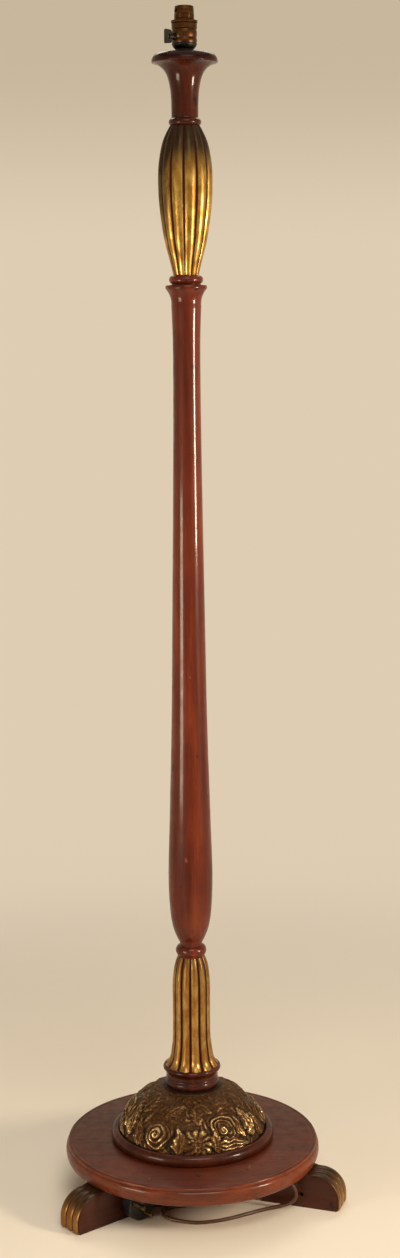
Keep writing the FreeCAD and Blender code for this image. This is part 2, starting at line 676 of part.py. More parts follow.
def make_saddle(place, held):
    """A strap over the flex with a flat ear on one side, against the plinth."""
    half = SADDLE_WIDTH / 2
    inner = held + SCREW_GAP
    outer = inner + SADDLE_PLATE
    strap = Part.makeCylinder(outer, SADDLE_WIDTH, V(-half, 0, 0), V(1, 0, 0))
    walls = Part.makeBox(SADDLE_WIDTH, 2 * outer, FLEX_DROP, V(-half, -outer, 0))
    ear = Part.makeBox(SADDLE_WIDTH, outer + SADDLE_EAR, SADDLE_PLATE,
                       V(-half, -outer - SADDLE_EAR, FLEX_DROP - SADDLE_PLATE))
    room = Part.makeCylinder(inner, 2 * SADDLE_WIDTH, V(-SADDLE_WIDTH, 0, 0), V(1, 0, 0))
    gap = Part.makeBox(2 * SADDLE_WIDTH, 2 * inner, FLEX_DROP + 1, V(-SADDLE_WIDTH, -inner, 0))
    above = Part.makeBox(4 * outer, 4 * outer, outer, V(-2 * outer, -2 * outer, FLEX_DROP))
    saddle = strap.fuse(walls).fuse(ear).cut(room).cut(gap).cut(above)
    saddle = saddle.cut(Part.makeCylinder(SADDLE_SCREW + SCREW_GAP, FLEX_DROP * 3,
                                          V(0, -screw_side(held), -FLEX_DROP)))
    saddle = saddle.removeSplitter()
    saddle.rotate(V(0, 0, 0), UP, FLEX_ANGLE)
    saddle.translate(along_flex(place))
    return saddle


def screw_side(held):
    """From the flex's centre to its saddle's screw."""
    return held + SCREW_GAP + SADDLE_PLATE + 0.55 * SADDLE_EAR


def saddle_screw_feet():
    """Where each saddle screw's head meets its ear."""
    return [along_flex(place, -screw_side(held), FLEX_DROP - SADDLE_PLATE) for place, held in saddles()]


def make_saddle_screws():
    screws = []
    for foot in saddle_screw_feet():
        shank = Part.makeCylinder(SADDLE_SCREW, SADDLE_PLATE + SADDLE_SCREW_BITE, foot)
        head = Part.makeCone(1.5 * SADDLE_SCREW, 2 * SADDLE_SCREW, 1.4, foot - V(0, 0, 1.4))
        slot = Part.makeBox(6 * SADDLE_SCREW, 0.6, 0.5, foot - V(3 * SADDLE_SCREW, 0.3, 1.45))
        screws.append(head.fuse(shank).cut(slot))
    return all_of(screws)


def saddle_screw_holes():
    return [Part.makeCylinder(SADDLE_SCREW + SCREW_GAP, SADDLE_PLATE + SADDLE_SCREW_BITE + SCREW_GAP, foot)
            for foot in saddle_screw_feet()]


def make_inner_flex():
    """Down the stem, round under the plinth and out to the end of the sleeve."""
    top = V(0, 0, Z_CUP_TOP + NIPPLE_STAND + 1.0)
    bend_top = V(0, 0, Z_FLEX + FLEX_BEND)
    bend_end = along_flex(FLEX_BEND)
    wire = Part.Wire([Part.LineSegment(top, bend_top).toShape(),
                      tangent_arc(bend_top, V(0, 0, Z_FLEX), bend_end),
                      Part.LineSegment(bend_end, along_flex(FLEX_REACH)).toShape()])
    return tube(wire, FLEX_RADIUS, "inner_flex")


def tapered_sleeve(start, way, length, straight, wide):
    """A rubber sleeve round the flex, straight where it is held and tapering to its tip."""
    body = Part.makeCylinder(wide, straight, start, way)
    taper = Part.makeCone(wide, SLEEVE_TIP, length - straight, start + way * straight, way)
    hole = Part.makeCylinder(FLEX_RADIUS + SCREW_GAP, length + 2, start - way, way)
    return body.fuse(taper).cut(hole).removeSplitter()


def make_flex_sleeve():
    straight = SADDLE_WIDTH * 1.75
    return tapered_sleeve(along_flex(FLEX_REACH - SLEEVE_LENGTH), flat(FLEX_ANGLE), SLEEVE_LENGTH,
                          straight, SLEEVE_RADIUS)


# ---------------------------------------------------------------- lampholder
def make_nipple():
    radius, thickness = NIPPLE_FLANGE
    body = cylinder(NIPPLE_RADIUS, Z_CUP_TOP - NIPPLE_DEPTH, NIPPLE_DEPTH + NIPPLE_STAND)
    body = body.fuse(cylinder(radius, Z_CUP_TOP - thickness, thickness))
    return body.cut(cylinder(NIPPLE_BORE, Z_CUP_TOP - NIPPLE_DEPTH, NIPPLE_DEPTH + NIPPLE_STAND))


def make_holder_cap():
    """The bell under the switch housing, screwed on the nipple."""
    hole = NIPPLE_RADIUS + THREAD_GAP
    floor = 4.5
    rim = HOLDER_RADIUS - SHELL_WALL
    side = Outline(hole, 0, Z_CUP_TOP).line(HOLDER_NECK_RADIUS, 0)
    side.line(HOLDER_NECK_RADIUS + 0.3, 0.4 * CAP_HEIGHT)
    side.bow(HOLDER_RADIUS - 0.2, CAP_HEIGHT - 1.5, 0.6)
    side.line(HOLDER_RADIUS - 0.2, CAP_HEIGHT).line(rim, CAP_HEIGHT)
    side.line(rim - 0.6, CAP_HEIGHT - 1.5).line(hole + 3.5, floor).line(hole, floor)
    return side.turned()


def make_switch_housing():
    """Two plump bands with a groove between them, holed for the bush and the lock screw."""
    rim = HOLDER_RADIUS - SHELL_WALL
    groove = HOLDER_RADIUS - 0.7
    middle = 0.4 * HOUSING_HEIGHT
    side = Outline(rim, 0, Z_HOUSING).line(groove, 0)
    side.bow(groove, middle, 0.7).bow(groove, HOUSING_HEIGHT, 0.7)
    side.line(rim - 1.2, HOUSING_HEIGHT).line(rim - 1.2, HOUSING_HEIGHT - 1.2)
    side.line(rim, HOUSING_HEIGHT - 2.4)
    housing = side.turned()
    housing = housing.cut(radial_rod(BUSH_RADIUS + SCREW_GAP, KEY_ANGLE, rim - 3, HOLDER_RADIUS + 3))
    return housing.cut(radial_rod(1.0 + SCREW_GAP, LOCK_SCREW_ANGLE, rim - 3, HOLDER_RADIUS + 3))


def radial_rod(radius, angle, start, end):
    """A cylinder on the key's level that runs outwards from the lamp's axis."""
    level = V(0, 0, Z_KEY)
    return rod(radius, level + flat(angle) * start, level + flat(angle) * end)


def make_holder_shell():
    """Skirt, shoulder and bayonet tube, with two hooked slots and a rolled thread."""
    skirt_inner = HOLDER_RADIUS - SHELL_WALL
    tube_base = SKIRT_HEIGHT
    top = SKIRT_HEIGHT + SOCKET_LENGTH
    grip = top - SOCKET_GRIP
    relief = SOCKET_RADIUS + 0.4
    side = Outline(skirt_inner, 0, Z_SHELL)
    side.bow(HOLDER_RADIUS, 1.0, 0.1).line(HOLDER_RADIUS, tube_base - 1.0)
    side.bow(HOLDER_RADIUS - 1.0, tube_base, 0.3).line(SOCKET_OUTER - 0.4, tube_base)
    thread_base = tube_base + SHADE_RING_HEIGHT + 2 * RUN_GAP
    side.line(SOCKET_OUTER - 0.4, thread_base)
    for k in range(6):
        side.bow(SOCKET_OUTER - 0.4, thread_base + 1.3 * (k + 1), 0.4)
    side.bow(SOCKET_LIP_OUTER, top - 0.4, 0.25).line(SOCKET_LIP_OUTER - 0.4, top)
    side.line(SOCKET_RADIUS, top).line(SOCKET_RADIUS, grip).line(relief, grip - 0.4)
    side.line(relief, tube_base - SHELL_WALL).line(skirt_inner, tube_base - SHELL_WALL)
    shell = side.turned()
    for half_turn in (0, 180):
        angle = SLOT_ANGLE + half_turn
        shell = shell.cut(bayonet_slot(angle))
    return shell


def bayonet_slot(angle):
    """Down from the lip, round, and a little way back up into the pin's rest."""
    reach = SOCKET_OUTER + 2
    low = Z_LAMP_TOP - SLOT_DEPTH
    slot = Part.makeBox(reach, SLOT_WIDTH, SLOT_DEPTH + 1, V(SOCKET_RADIUS - 1, -SLOT_WIDTH / 2, low))
    sweep = Part.makeCylinder(reach, SLOT_WIDTH, V(0, 0, low), UP, SLOT_TURN)
    rest = Part.makeBox(reach, SLOT_WIDTH, SLOT_WIDTH + 1.2, V(SOCKET_RADIUS - 1, -SLOT_WIDTH / 2, low))
    rest = turn(rest, SLOT_TURN)
    core = cylinder(SOCKET_RADIUS - 1, low, SLOT_WIDTH)
    return turn(slot.fuse(sweep.cut(core)).fuse(rest), angle)


def make_shade_ring():
    """A ring with a coarsely knurled edge, free to turn on the shell's tube."""
    bottom = Z_SOCKET + RUN_GAP
    ring = cylinder(SHADE_RING_RADIUS, bottom, SHADE_RING_HEIGHT)
    ring = ring.cut(cylinder(SOCKET_OUTER - 0.4 + TURN_GAP, bottom, SHADE_RING_HEIGHT))
    notches = 24
    for k in range(notches):
        notch = cylinder(0.8, bottom, SHADE_RING_HEIGHT)
        notch.translate(V(SHADE_RING_RADIUS + 0.4, 0, 0))
        ring = ring.cut(turn(notch, k * 360 / notches))
    return ring


def chamber_places():
    """The two contacts lie square to the bayonet slots."""
    way = flat(SLOT_ANGLE + 90)
    return [way * CHAMBER_OFFSET, way * -CHAMBER_OFFSET]


def core_levels():
    """Heights of the insulator's bottom, the chambers' roof and its top."""
    top = Z_SHELL + CORE_TOP
    return Z_SHELL - 6.0, top - 2.2, top


def make_core():
    bottom, roof, top = core_levels()
    inner = HOLDER_RADIUS - SHELL_WALL - 1.2 - 0.4
    core = cylinder(inner, bottom, Z_SHELL - bottom)
    core = core.fuse(cylinder(CORE_FLANGE, Z_SHELL, 3.0))
    core = core.fuse(cylinder(SOCKET_RADIUS - 0.3, Z_SHELL, top - Z_SHELL)).removeSplitter()
    for place in chamber_places():
        for radius, low, high in ((CHAMBER_RADIUS, bottom, roof), (PLUNGER_RADIUS + TURN_GAP, roof, top)):
            hole = cylinder(radius, low, high - low)
            hole.translate(place)
            core = core.cut(hole)
    return core


def plunger_levels():
    """Heights of the terminal's top, the spring's top and the plunger flange's top."""
    bottom, roof, top = core_levels()
    seat = bottom + TERMINAL_HEIGHT
    return seat, roof - RUN_GAP - 1.6, roof - RUN_GAP


def make_terminals():
    bottom, roof, top = core_levels()
    bodies = []
    for place in chamber_places():
        body = cylinder(CHAMBER_RADIUS - SCREW_GAP, bottom, TERMINAL_HEIGHT)
        body = body.cut(cylinder(0.8, bottom, 3.0))
        body.translate(place)
        bodies.append(body)
    return all_of(bodies)


def make_plunger(place):
    seat, spring_top, flange_top = plunger_levels()
    bottom, roof, top = core_levels()
    flange = cylinder(CHAMBER_RADIUS - TURN_GAP, spring_top, flange_top - spring_top)
    tip = PLUNGER_RADIUS * 0.8
    stem = cylinder(PLUNGER_RADIUS, spring_top, top + PLUNGER_STAND - tip - spring_top)
    dome = Part.makeSphere(PLUNGER_RADIUS, V(0, 0, top + PLUNGER_STAND - PLUNGER_RADIUS))
    body = flange.fuse(stem).fuse(dome).removeSplitter()
    body.translate(place)
    return body


def make_spring(place):
    """A close helical spring between terminal and plunger, on arcs of a quarter turn."""
    seat, spring_top, flange_top = plunger_levels()
    wire_radius = SPRING_WIRE / 2
    radius = CHAMBER_RADIUS - 0.25 - wire_radius
    low = seat + wire_radius + 0.05
    rise = (spring_top - wire_radius - 0.05 - low) / SPRING_TURNS

    def station(quarter):
        a = quarter * math.pi / 2
        spot = V(radius * math.cos(a), radius * math.sin(a), low + rise * quarter / 4)
        way = V(-radius * math.sin(a), radius * math.cos(a), rise / (2 * math.pi))
        return spot, way

    edges = []
    for quarter in range(4 * SPRING_TURNS):
        edges += biarc(*station(quarter), *station(quarter + 1))
    spring = tube(Part.Wire(edges), wire_radius, "plunger spring")
    spring.translate(place)
    return spring


def make_key_bush():
    inner = HOLDER_RADIUS - SHELL_WALL - 1.0
    outer = HOLDER_RADIUS + 1.8
    bush = radial_rod(BUSH_RADIUS, KEY_ANGLE, inner, outer)
    nut = radial_rod(BUSH_RADIUS + 1.0, KEY_ANGLE, HOLDER_RADIUS + 0.2, outer - 0.4)
    hole = radial_rod(SPINDLE_RADIUS + TURN_GAP, KEY_ANGLE, inner - 1, outer + 1)
    return bush.fuse(nut).cut(hole)


def make_spindle():
    return radial_rod(SPINDLE_RADIUS, KEY_ANGLE, -CAM_RADIUS, KEY_REACH - 5.0)


def make_cam():
    """A round cam with one flat, on the spindle's inner end."""
    cam = radial_rod(CAM_RADIUS, KEY_ANGLE, -2.0, 3.0)
    flat_side = Part.makeBox(4 * CAM_RADIUS, 4 * CAM_RADIUS, CAM_RADIUS,
                             V(-2 * CAM_RADIUS, -2 * CAM_RADIUS, Z_KEY + 0.72 * CAM_RADIUS))
    return cam.cut(flat_side).cut(radial_rod(SPINDLE_RADIUS + TURN_GAP / 5, KEY_ANGLE, -3.0, 4.0))


def make_key():
    """A flat thumb key, a little wider at its outer end, with a hub over the spindle."""
    inner = HOLDER_RADIUS + 2.4
    shoulder = inner + 2.6
    half = KEY_HEIGHT / 2
    corners = [(inner, KEY_HUB), (shoulder, half - 0.8), (KEY_REACH - 0.8, half), (KEY_REACH, half - 0.8)]
    corners += [(r, -z) for r, z in reversed(corners)]
    points = [V(r, -KEY_THICKNESS / 2, z) for r, z in corners]
    plate = Part.Face(Part.makePolygon(points + [points[0]])).extrude(V(0, KEY_THICKNESS, 0))
    hub = Part.makeCylinder(KEY_HUB, 5.0, V(inner, 0, 0), V(1, 0, 0))
    key = plate.fuse(hub)
    key = key.cut(Part.makeCylinder(SPINDLE_RADIUS + TURN_GAP / 5, KEY_REACH - 5.0 - inner + 1,
                                    V(inner - 1, 0, 0), V(1, 0, 0)))
    key.rotate(V(0, 0, 0), UP, KEY_ANGLE)
    key.translate(V(0, 0, Z_KEY))
    return key.removeSplitter()


def make_lock_screw():
    head = radial_rod(1.8, LOCK_SCREW_ANGLE, HOLDER_RADIUS, HOLDER_RADIUS + 1.3)
    shank = radial_rod(1.0, LOCK_SCREW_ANGLE, HOLDER_RADIUS - SHELL_WALL - 1.5, HOLDER_RADIUS)
    return head.fuse(shank)


# ---------------------------------------------------------------- free flex
def coil_station(turns):
    """Place and direction on the coil's centre line after some turns: it spirals in on the
    floor, climbs one layer in half a turn and spirals out again on top."""
    climb_end = COIL_TURNS_IN + COIL_TURNS_CLIMB
    inner = COIL_OUTER - COIL_PITCH * COIL_TURNS_IN
    share = min(max((turns - COIL_TURNS_IN) / COIL_TURNS_CLIMB, 0), 1)
    radius = inner - COIL_PITCH * COIL_TURNS_CLIMB * math.sin(math.pi * share) / math.pi
    radius += COIL_PITCH * max(COIL_TURNS_IN - turns, turns - climb_end, 0)
    growth = -COIL_PITCH * math.cos(math.pi * share)
    height = FLOOR_LEVEL + COIL_PITCH * (1 - math.cos(math.pi * share)) / 2
    lift = COIL_PITCH * math.pi * math.sin(math.pi * share) / 2 / COIL_TURNS_CLIMB
    a = 2 * math.pi * turns
    spot = V(COIL_CENTRE[0] + radius * math.cos(a), COIL_CENTRE[1] + radius * math.sin(a), height)
    way = V(growth * math.cos(a) - 2 * math.pi * radius * math.sin(a),
            growth * math.sin(a) + 2 * math.pi * radius * math.cos(a), lift)
    return spot, way


def coil_turns():
    return COIL_TURNS_IN + COIL_TURNS_CLIMB + COIL_TURNS_OUT


def least_gap(spots, reach):
    """The least gap of a tube through the spots to itself, past a stretch of its own."""
    least = 1e9
    for i, one in enumerate(spots):
        for other in spots[i + reach:]:
            least = min(least, one.distanceToPoint(other))
    return least - FLEX_DIAMETER


def make_coil():
    start, start_way = coil_station(0)
    end, end_way = coil_station(coil_turns())
    start_way.normalize()
    end_way.normalize()
    entry = start - start_way * FLEX_DIAMETER
    leave = end + end_way * FLEX_DIAMETER
    edges = [Part.LineSegment(entry, start).toShape()]
    steps = round(coil_turns() * 4)
    for k in range(steps):
        edges += biarc(*coil_station(k / 4), *coil_station((k + 1) / 4))
    edges.append(Part.LineSegment(end, leave).toShape())
    wire = Part.Wire(edges)
    spots = [coil_station(k / 40)[0] for k in range(round(coil_turns() * 40) + 1)]
    print("lead_coil least gap to itself", round(least_gap(spots, 20), 2), "mm")
    return tube(wire, FLEX_RADIUS, "lead_coil"), entry, leave, end_way


def make_lead():
    """The run to the coil, the coil and the tail to the plug, face to face."""
    coil, entry, leave, leave_way = make_coil()
    run_points = [along_flex(FLEX_REACH)] + RUN_POINTS + [entry]
    run = tube(flex_path(run_points, "lead_run"), FLEX_RADIUS, "lead_run")
    tip, tip_way = plug_sleeve_tip()
    tail_points = [leave] + TAIL_POINTS + [tip + tip_way * PLUG_SLEEVE_RUN, tip]
    tail = tube(flex_path(tail_points, "lead_tail"), FLEX_RADIUS, "lead_tail")
    return run, coil, tail


# ---------------------------------------------------------------- plug
def plug_frame():
    """Where the plug's pin face lies, the way its pins point, the way its earth pin lies and
    the way from one line pin to the other."""
    foot = BACK_FOOT_ANGLE + 360 / FOOT_COUNT
    along = flat(foot)
    pins_way = flat(foot + 90)
    off = FOOT_WIDTH / 2 + PLUG_OFF_FOOT + PLUG_COVER + PLUG_BASE
    centre = along * PLUG_ALONG_FOOT + pins_way * off + V(0, 0, PLUG_RADIUS + 0.3)
    roll = math.radians(PLUG_ROLL)
    earth_way = along * math.cos(roll) + UP * math.sin(roll)
    across_way = UP * math.cos(roll) - along * math.sin(roll)
    return centre, pins_way, earth_way, across_way


def on_plug(across, earthward, out):
    """A point from the plug's centre: across, towards the earth pin, and out of its pin face."""
    centre, pins_way, earth_way, across_way = plug_frame()
    return centre + across_way * across + earth_way * earthward + pins_way * out


def plug_rod(radius, across, earthward, start, end):
    return rod(radius, on_plug(across, earthward, start), on_plug(across, earthward, end))


def plug_entry():
    """The flex's hole, on the parting line, opposite the earth pin."""
    return rod(FLEX_RADIUS + SCREW_GAP, on_plug(0, -PLUG_RADIUS - 2, -PLUG_BASE),
               on_plug(0, -PLUG_RADIUS + 9, -PLUG_BASE))


def pin_places():
    half = LINE_PIN_SPACING / 2
    earth = EARTH_PIN_DISTANCE - LINE_PIN_DROP
    return [(half, -LINE_PIN_DROP, LINE_PIN), (-half, -LINE_PIN_DROP, LINE_PIN), (0, earth, EARTH_PIN)]


def make_plug_pins():
    pins = []
    for across, earthward, (radius, length) in pin_places():
        shank = plug_rod(radius, across, earthward, -7.0, length - 1.0)
        tip = Part.makeCone(radius, radius - 1.0, 1.0, on_plug(across, earthward, length - 1.0),
                            plug_frame()[1])
        pins.append(shank.fuse(tip))
    return all_of(pins)


def make_plug_base():
    base = plug_rod(PLUG_RADIUS, 0, 0, -PLUG_BASE, -1.0)
    base = base.fuse(Part.makeCone(PLUG_RADIUS, PLUG_RADIUS - 1.0, 1.0, on_plug(0, 0, -1.0),
                                   plug_frame()[1]))
    for across, earthward, (radius, length) in pin_places():
        base = base.cut(plug_rod(radius + SCREW_GAP, across, earthward, -7.0 - SCREW_GAP, 1.0))
    base = base.cut(plug_rod(2.0 + SCREW_GAP, 0, 1.5, -PLUG_BASE - 1, 1.0))
    base = base.cut(plug_rod(3.6, 0, 1.5, -2.5, 1.0))
    return base.cut(plug_entry())


def make_plug_cover():
    straight = PLUG_COVER - PLUG_EDGE
    cover = plug_rod(PLUG_RADIUS, 0, 0, -PLUG_BASE - straight, -PLUG_BASE)
    back = -plug_frame()[1]
    cover = cover.fuse(Part.makeCone(PLUG_RADIUS, PLUG_RADIUS - PLUG_EDGE, PLUG_EDGE,
                                     on_plug(0, 0, -PLUG_BASE - straight), back))
    cover = cover.cut(plug_rod(2.0 + SCREW_GAP, 0, 1.5, -PLUG_BASE - 6, -PLUG_BASE + 1))
    return cover.cut(plug_entry())


def make_plug_screw():
    head = plug_rod(3.5, 0, 1.5, -2.5, -0.6)
    return head.fuse(plug_rod(2.0, 0, 1.5, -PLUG_BASE - 5.5, -2.5))


def plug_sleeve_tip():
    """The outer end of the plug's sleeve and the way the flex leaves it."""
    way = -plug_frame()[2]
    return on_plug(0, -PLUG_RADIUS - PLUG_SLEEVE_LENGTH, -PLUG_BASE), way


def make_plug_sleeve():
    tip, way = plug_sleeve_tip()
    start = tip - way * PLUG_SLEEVE_LENGTH
    sleeve = tapered_sleeve(start, way, PLUG_SLEEVE_LENGTH, 3.0, SLEEVE_RADIUS + 0.6)
    body = plug_rod(PLUG_RADIUS + 0.02, 0, 0, -PLUG_BASE - PLUG_COVER, 1.0)
    return sleeve.cut(body)


# ---------------------------------------------------------------- the whole lamp
def build():
    os.makedirs("parts", exist_ok=True)
    save("plinth_disc", make_plinth())
    for name, angle in zip(("foot_back", "foot_front_left", "foot_right"), foot_angles()):
        save(name, make_foot(angle, name == "foot_right"))
    save("foot_screws", make_foot_screws())
    dome = make_dome()
    for hole in dome_screw_holes():
        dome = dome.cut(hole)
    save("carved_dome", dome)
    save("dome_ring", make_dome_ring())
    save("dome_screws", all_of(around_dome(countersunk(DOME_SCREW_RADIUS, 2 * DOME_SCREW_RADIUS,
                                                       Z_PLINTH, DOME_SCREW_LENGTH))))
    save("column_ring", make_column_ring())
    save("reeded_column", make_column())
    save("turned_shaft", make_shaft())
    save("reeded_bulb", make_bulb())
    save("candle_cup", make_cup())

    save("inner_flex", make_inner_flex())
    save("flex_saddles", all_of([make_saddle(place, held) for place, held in saddles()]))
    save("saddle_screws", make_saddle_screws())
    save("flex_sleeve", make_flex_sleeve())

    save("wood_nipple", make_nipple())
    save("holder_cap", make_holder_cap())
    save("switch_housing", make_switch_housing())
    save("holder_shell", make_holder_shell())
    save("shade_ring", make_shade_ring())
    save("porcelain_core", make_core())
    save("terminals", make_terminals())
    for letter, place in zip("ab", chamber_places()):
        save("contact_plunger_" + letter, make_plunger(place))
        save("plunger_spring_" + letter, make_spring(place))
    save("key_bush", make_key_bush())
    save("key_spindle", make_spindle())
    save("switch_cam", make_cam())
    save("switch_key", make_key())
    save("lock_screw", make_lock_screw())

    run, coil, tail = make_lead()
    save("lead_run", run)
    save("lead_coil", coil)
    save("lead_tail", tail)
    save("plug_base", make_plug_base())
    save("plug_cover", make_plug_cover())
    save("plug_pins", make_plug_pins())
    save("plug_screw", make_plug_screw())
    save("plug_sleeve", make_plug_sleeve())
    print("height", round(Z_LAMP_TOP, 1), "mm")


build()
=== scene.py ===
"""The candlestick floor lamp, dressed: turned mahogany, antiqued gilding, a carved dome,
an aged bayonet lampholder and a brown flex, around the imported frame. Sizes are in mm, but in
the finishes in metres."""

import math

import bmesh
import bpy
import numpy as np
from mathutils import Matrix, Vector


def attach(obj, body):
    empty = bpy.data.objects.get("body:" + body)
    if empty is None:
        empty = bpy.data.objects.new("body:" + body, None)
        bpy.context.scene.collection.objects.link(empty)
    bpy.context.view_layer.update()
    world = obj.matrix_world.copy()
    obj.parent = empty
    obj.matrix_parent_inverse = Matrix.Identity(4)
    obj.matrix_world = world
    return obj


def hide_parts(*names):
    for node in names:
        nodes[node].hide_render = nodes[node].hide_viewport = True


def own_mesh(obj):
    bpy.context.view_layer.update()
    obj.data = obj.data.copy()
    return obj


MM = 0.001
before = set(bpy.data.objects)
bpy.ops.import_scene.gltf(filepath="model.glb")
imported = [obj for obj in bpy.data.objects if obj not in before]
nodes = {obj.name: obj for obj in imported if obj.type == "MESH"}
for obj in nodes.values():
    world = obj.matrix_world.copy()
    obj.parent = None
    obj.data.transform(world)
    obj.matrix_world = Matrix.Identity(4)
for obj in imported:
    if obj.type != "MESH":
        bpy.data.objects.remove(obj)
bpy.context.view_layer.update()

# levels of the stand, from the floor up
FOOT_TOP = 48.2
PLINTH_TOP = 74.2
DOME_TOP = 151.7
COLUMN_FOOT = 165.0
SHAFT_FOOT = 337.8
BULB_FOOT = 1267.9
CUP_FOOT = 1459.1
CUP_TOP = 1550.3
HOUSING_FOOT = 1562.6

# bores and joints of the woodwork: radii, and (radius, length) of tenons and sockets
STEM_BORE = 4.5
FLEX_MOUTH = (14.0, 10.0)
TENON = (10.0, 28.0)
SOCKET = (10.1, 28.5)
COLUMN_TENON = (16.0, 102.8)
COLUMN_SOCKET = (16.1, 12.5)
NIPPLE_HOLE = 6.4

# forms: the dome's radius, height and height at its crown; angles are in degrees
DOME = (104.0, 77.5, 83.5)
COLUMN_LIP = 14.4
REEDS = 12
REED_PHASE = -94.0
FOOT_ANGLES = {"foot_back": 100.35, "foot_front_left": 220.35, "foot_right": 340.35}
HOLDER = 16.4


# ------------------------------ shader maths
class Value:
    """A shader socket whose arithmetic adds Math nodes."""

    def __init__(self, finish, socket):
        self.finish, self.socket = finish, socket

    def math(self, operation, first, second, clamp=False):
        return self.finish.add("ShaderNodeMath", {"operation": operation, "use_clamp": clamp},
                               {"0": first, "1": second})

    def __add__(self, other):
        return self.math("ADD", self, other)

    __radd__ = __add__

    def __mul__(self, other):
        return self.math("MULTIPLY", self, other)

    __rmul__ = __mul__

    def __sub__(self, other):
        return self.math("SUBTRACT", self, other)

    def __rsub__(self, other):
        return self.math("SUBTRACT", other, self)

    def clamped(self):
        return self.math("ADD", self, 0.0, clamp=True)


class Finish:
    """A material, its nodes added by one method."""

    def __init__(self, name):
        self.material = bpy.data.materials.new(name)
        self.material.use_nodes = True
        self.tree = self.material.node_tree
        self.tree.nodes.clear()
        self.output = self.tree.nodes.new("ShaderNodeOutputMaterial")

    def add(self, kind, settings=None, inputs=None, out="0"):
        """A node of a kind, its settings first, then the values or links of its sockets."""
        node = self.tree.nodes.new(kind)
        for key, setting in (settings or {}).items():
            if key == "stops":
                ramp = node.color_ramp.elements
                for place, colour in setting[1:-1]:
                    ramp.new(place)
                for element, (place, colour) in zip(ramp, setting):
                    element.position = place
                    element.color = (*colour, 1)
            else:
                setattr(node, key, setting)
        for key, value in (inputs or {}).items():
            socket = self.pick(node.inputs, key)
            if isinstance(value, Value):
                self.tree.links.new(value.socket, socket)
            elif socket.type == "RGBA":
                socket.default_value = (*value, 1)
            else:
                socket.default_value = value
        return Value(self, self.pick(node.outputs, out))

    @staticmethod
    def pick(sockets, key):
        """A socket by its number, identifier or name."""
        if key.isdigit():
            return sockets[int(key)]
        found = [socket for socket in sockets if socket.identifier == key]
        return found[0] if found else sockets[key]

    def place(self, scale=(1, 1, 1), turn=0.0):
        """Object coordinates in metres, turned about Z and then stretched."""
        where = self.add("ShaderNodeTexCoord", out="Object")
        if turn:
            where = self.add("ShaderNodeMapping", {},
                             {"Vector": where, "Rotation": (0, 0, math.radians(turn))})
        return self.add("ShaderNodeMapping", {}, {"Vector": where, "Scale": scale})

    def part(self, axis):
        """One of the object coordinates."""
        where = self.add("ShaderNodeTexCoord", out="Object")
        return self.add("ShaderNodeSeparateXYZ", {}, {"Vector": where}, out=axis)

    def noise(self, where, scale, detail, rough, distort=0.0):
        return self.add("ShaderNodeTexNoise", {},
                        {"Vector": where, "Scale": scale, "Detail": detail, "Roughness": rough,
                         "Distortion": distort}, out="Fac")

    def band(self, value, low, high, to_low=0.0, to_high=1.0):
        """A smooth step of a value between two levels."""
        return self.add("ShaderNodeMapRange", {"interpolation_type": "SMOOTHSTEP"},
                        {"Value": value, "From Min": low, "From Max": high,
                         "To Min": to_low, "To Max": to_high})

    def ramp(self, value, *stops):
        return self.add("ShaderNodeValToRGB", {"stops": stops}, {"Fac": value}, out="Color")

    def mix(self, share, first, second):
        return self.add("ShaderNodeMix", {"data_type": "RGBA"},
                        {"Factor_Float": share, "A_Color": first, "B_Color": second},
                        out="Result_Color")

    def attribute(self, name):
        return self.add("ShaderNodeAttribute", {"attribute_name": name}, out="Fac")

    def bump(self, height, strength, distance):
        return self.add("ShaderNodeBump", {},
                        {"Height": height, "Strength": strength, "Distance": distance},
                        out="Normal")

    def surface(self, **inputs):
        names = {key.replace("_", " "): value for key, value in inputs.items()}
        shader = self.add("ShaderNodeBsdfPrincipled", {}, names, out="BSDF")
        self.tree.links.new(shader.socket, self.output.inputs["Surface"])
        return self.material


def shade(red, green, blue):
    """A colour as it is seen, 0 to 255, in the shader's own scale."""
    return tuple((c / 255 / 12.92) if c <= 10 else ((c / 255 + 0.055) / 1.055) ** 2.4
                 for c in (red, green, blue))


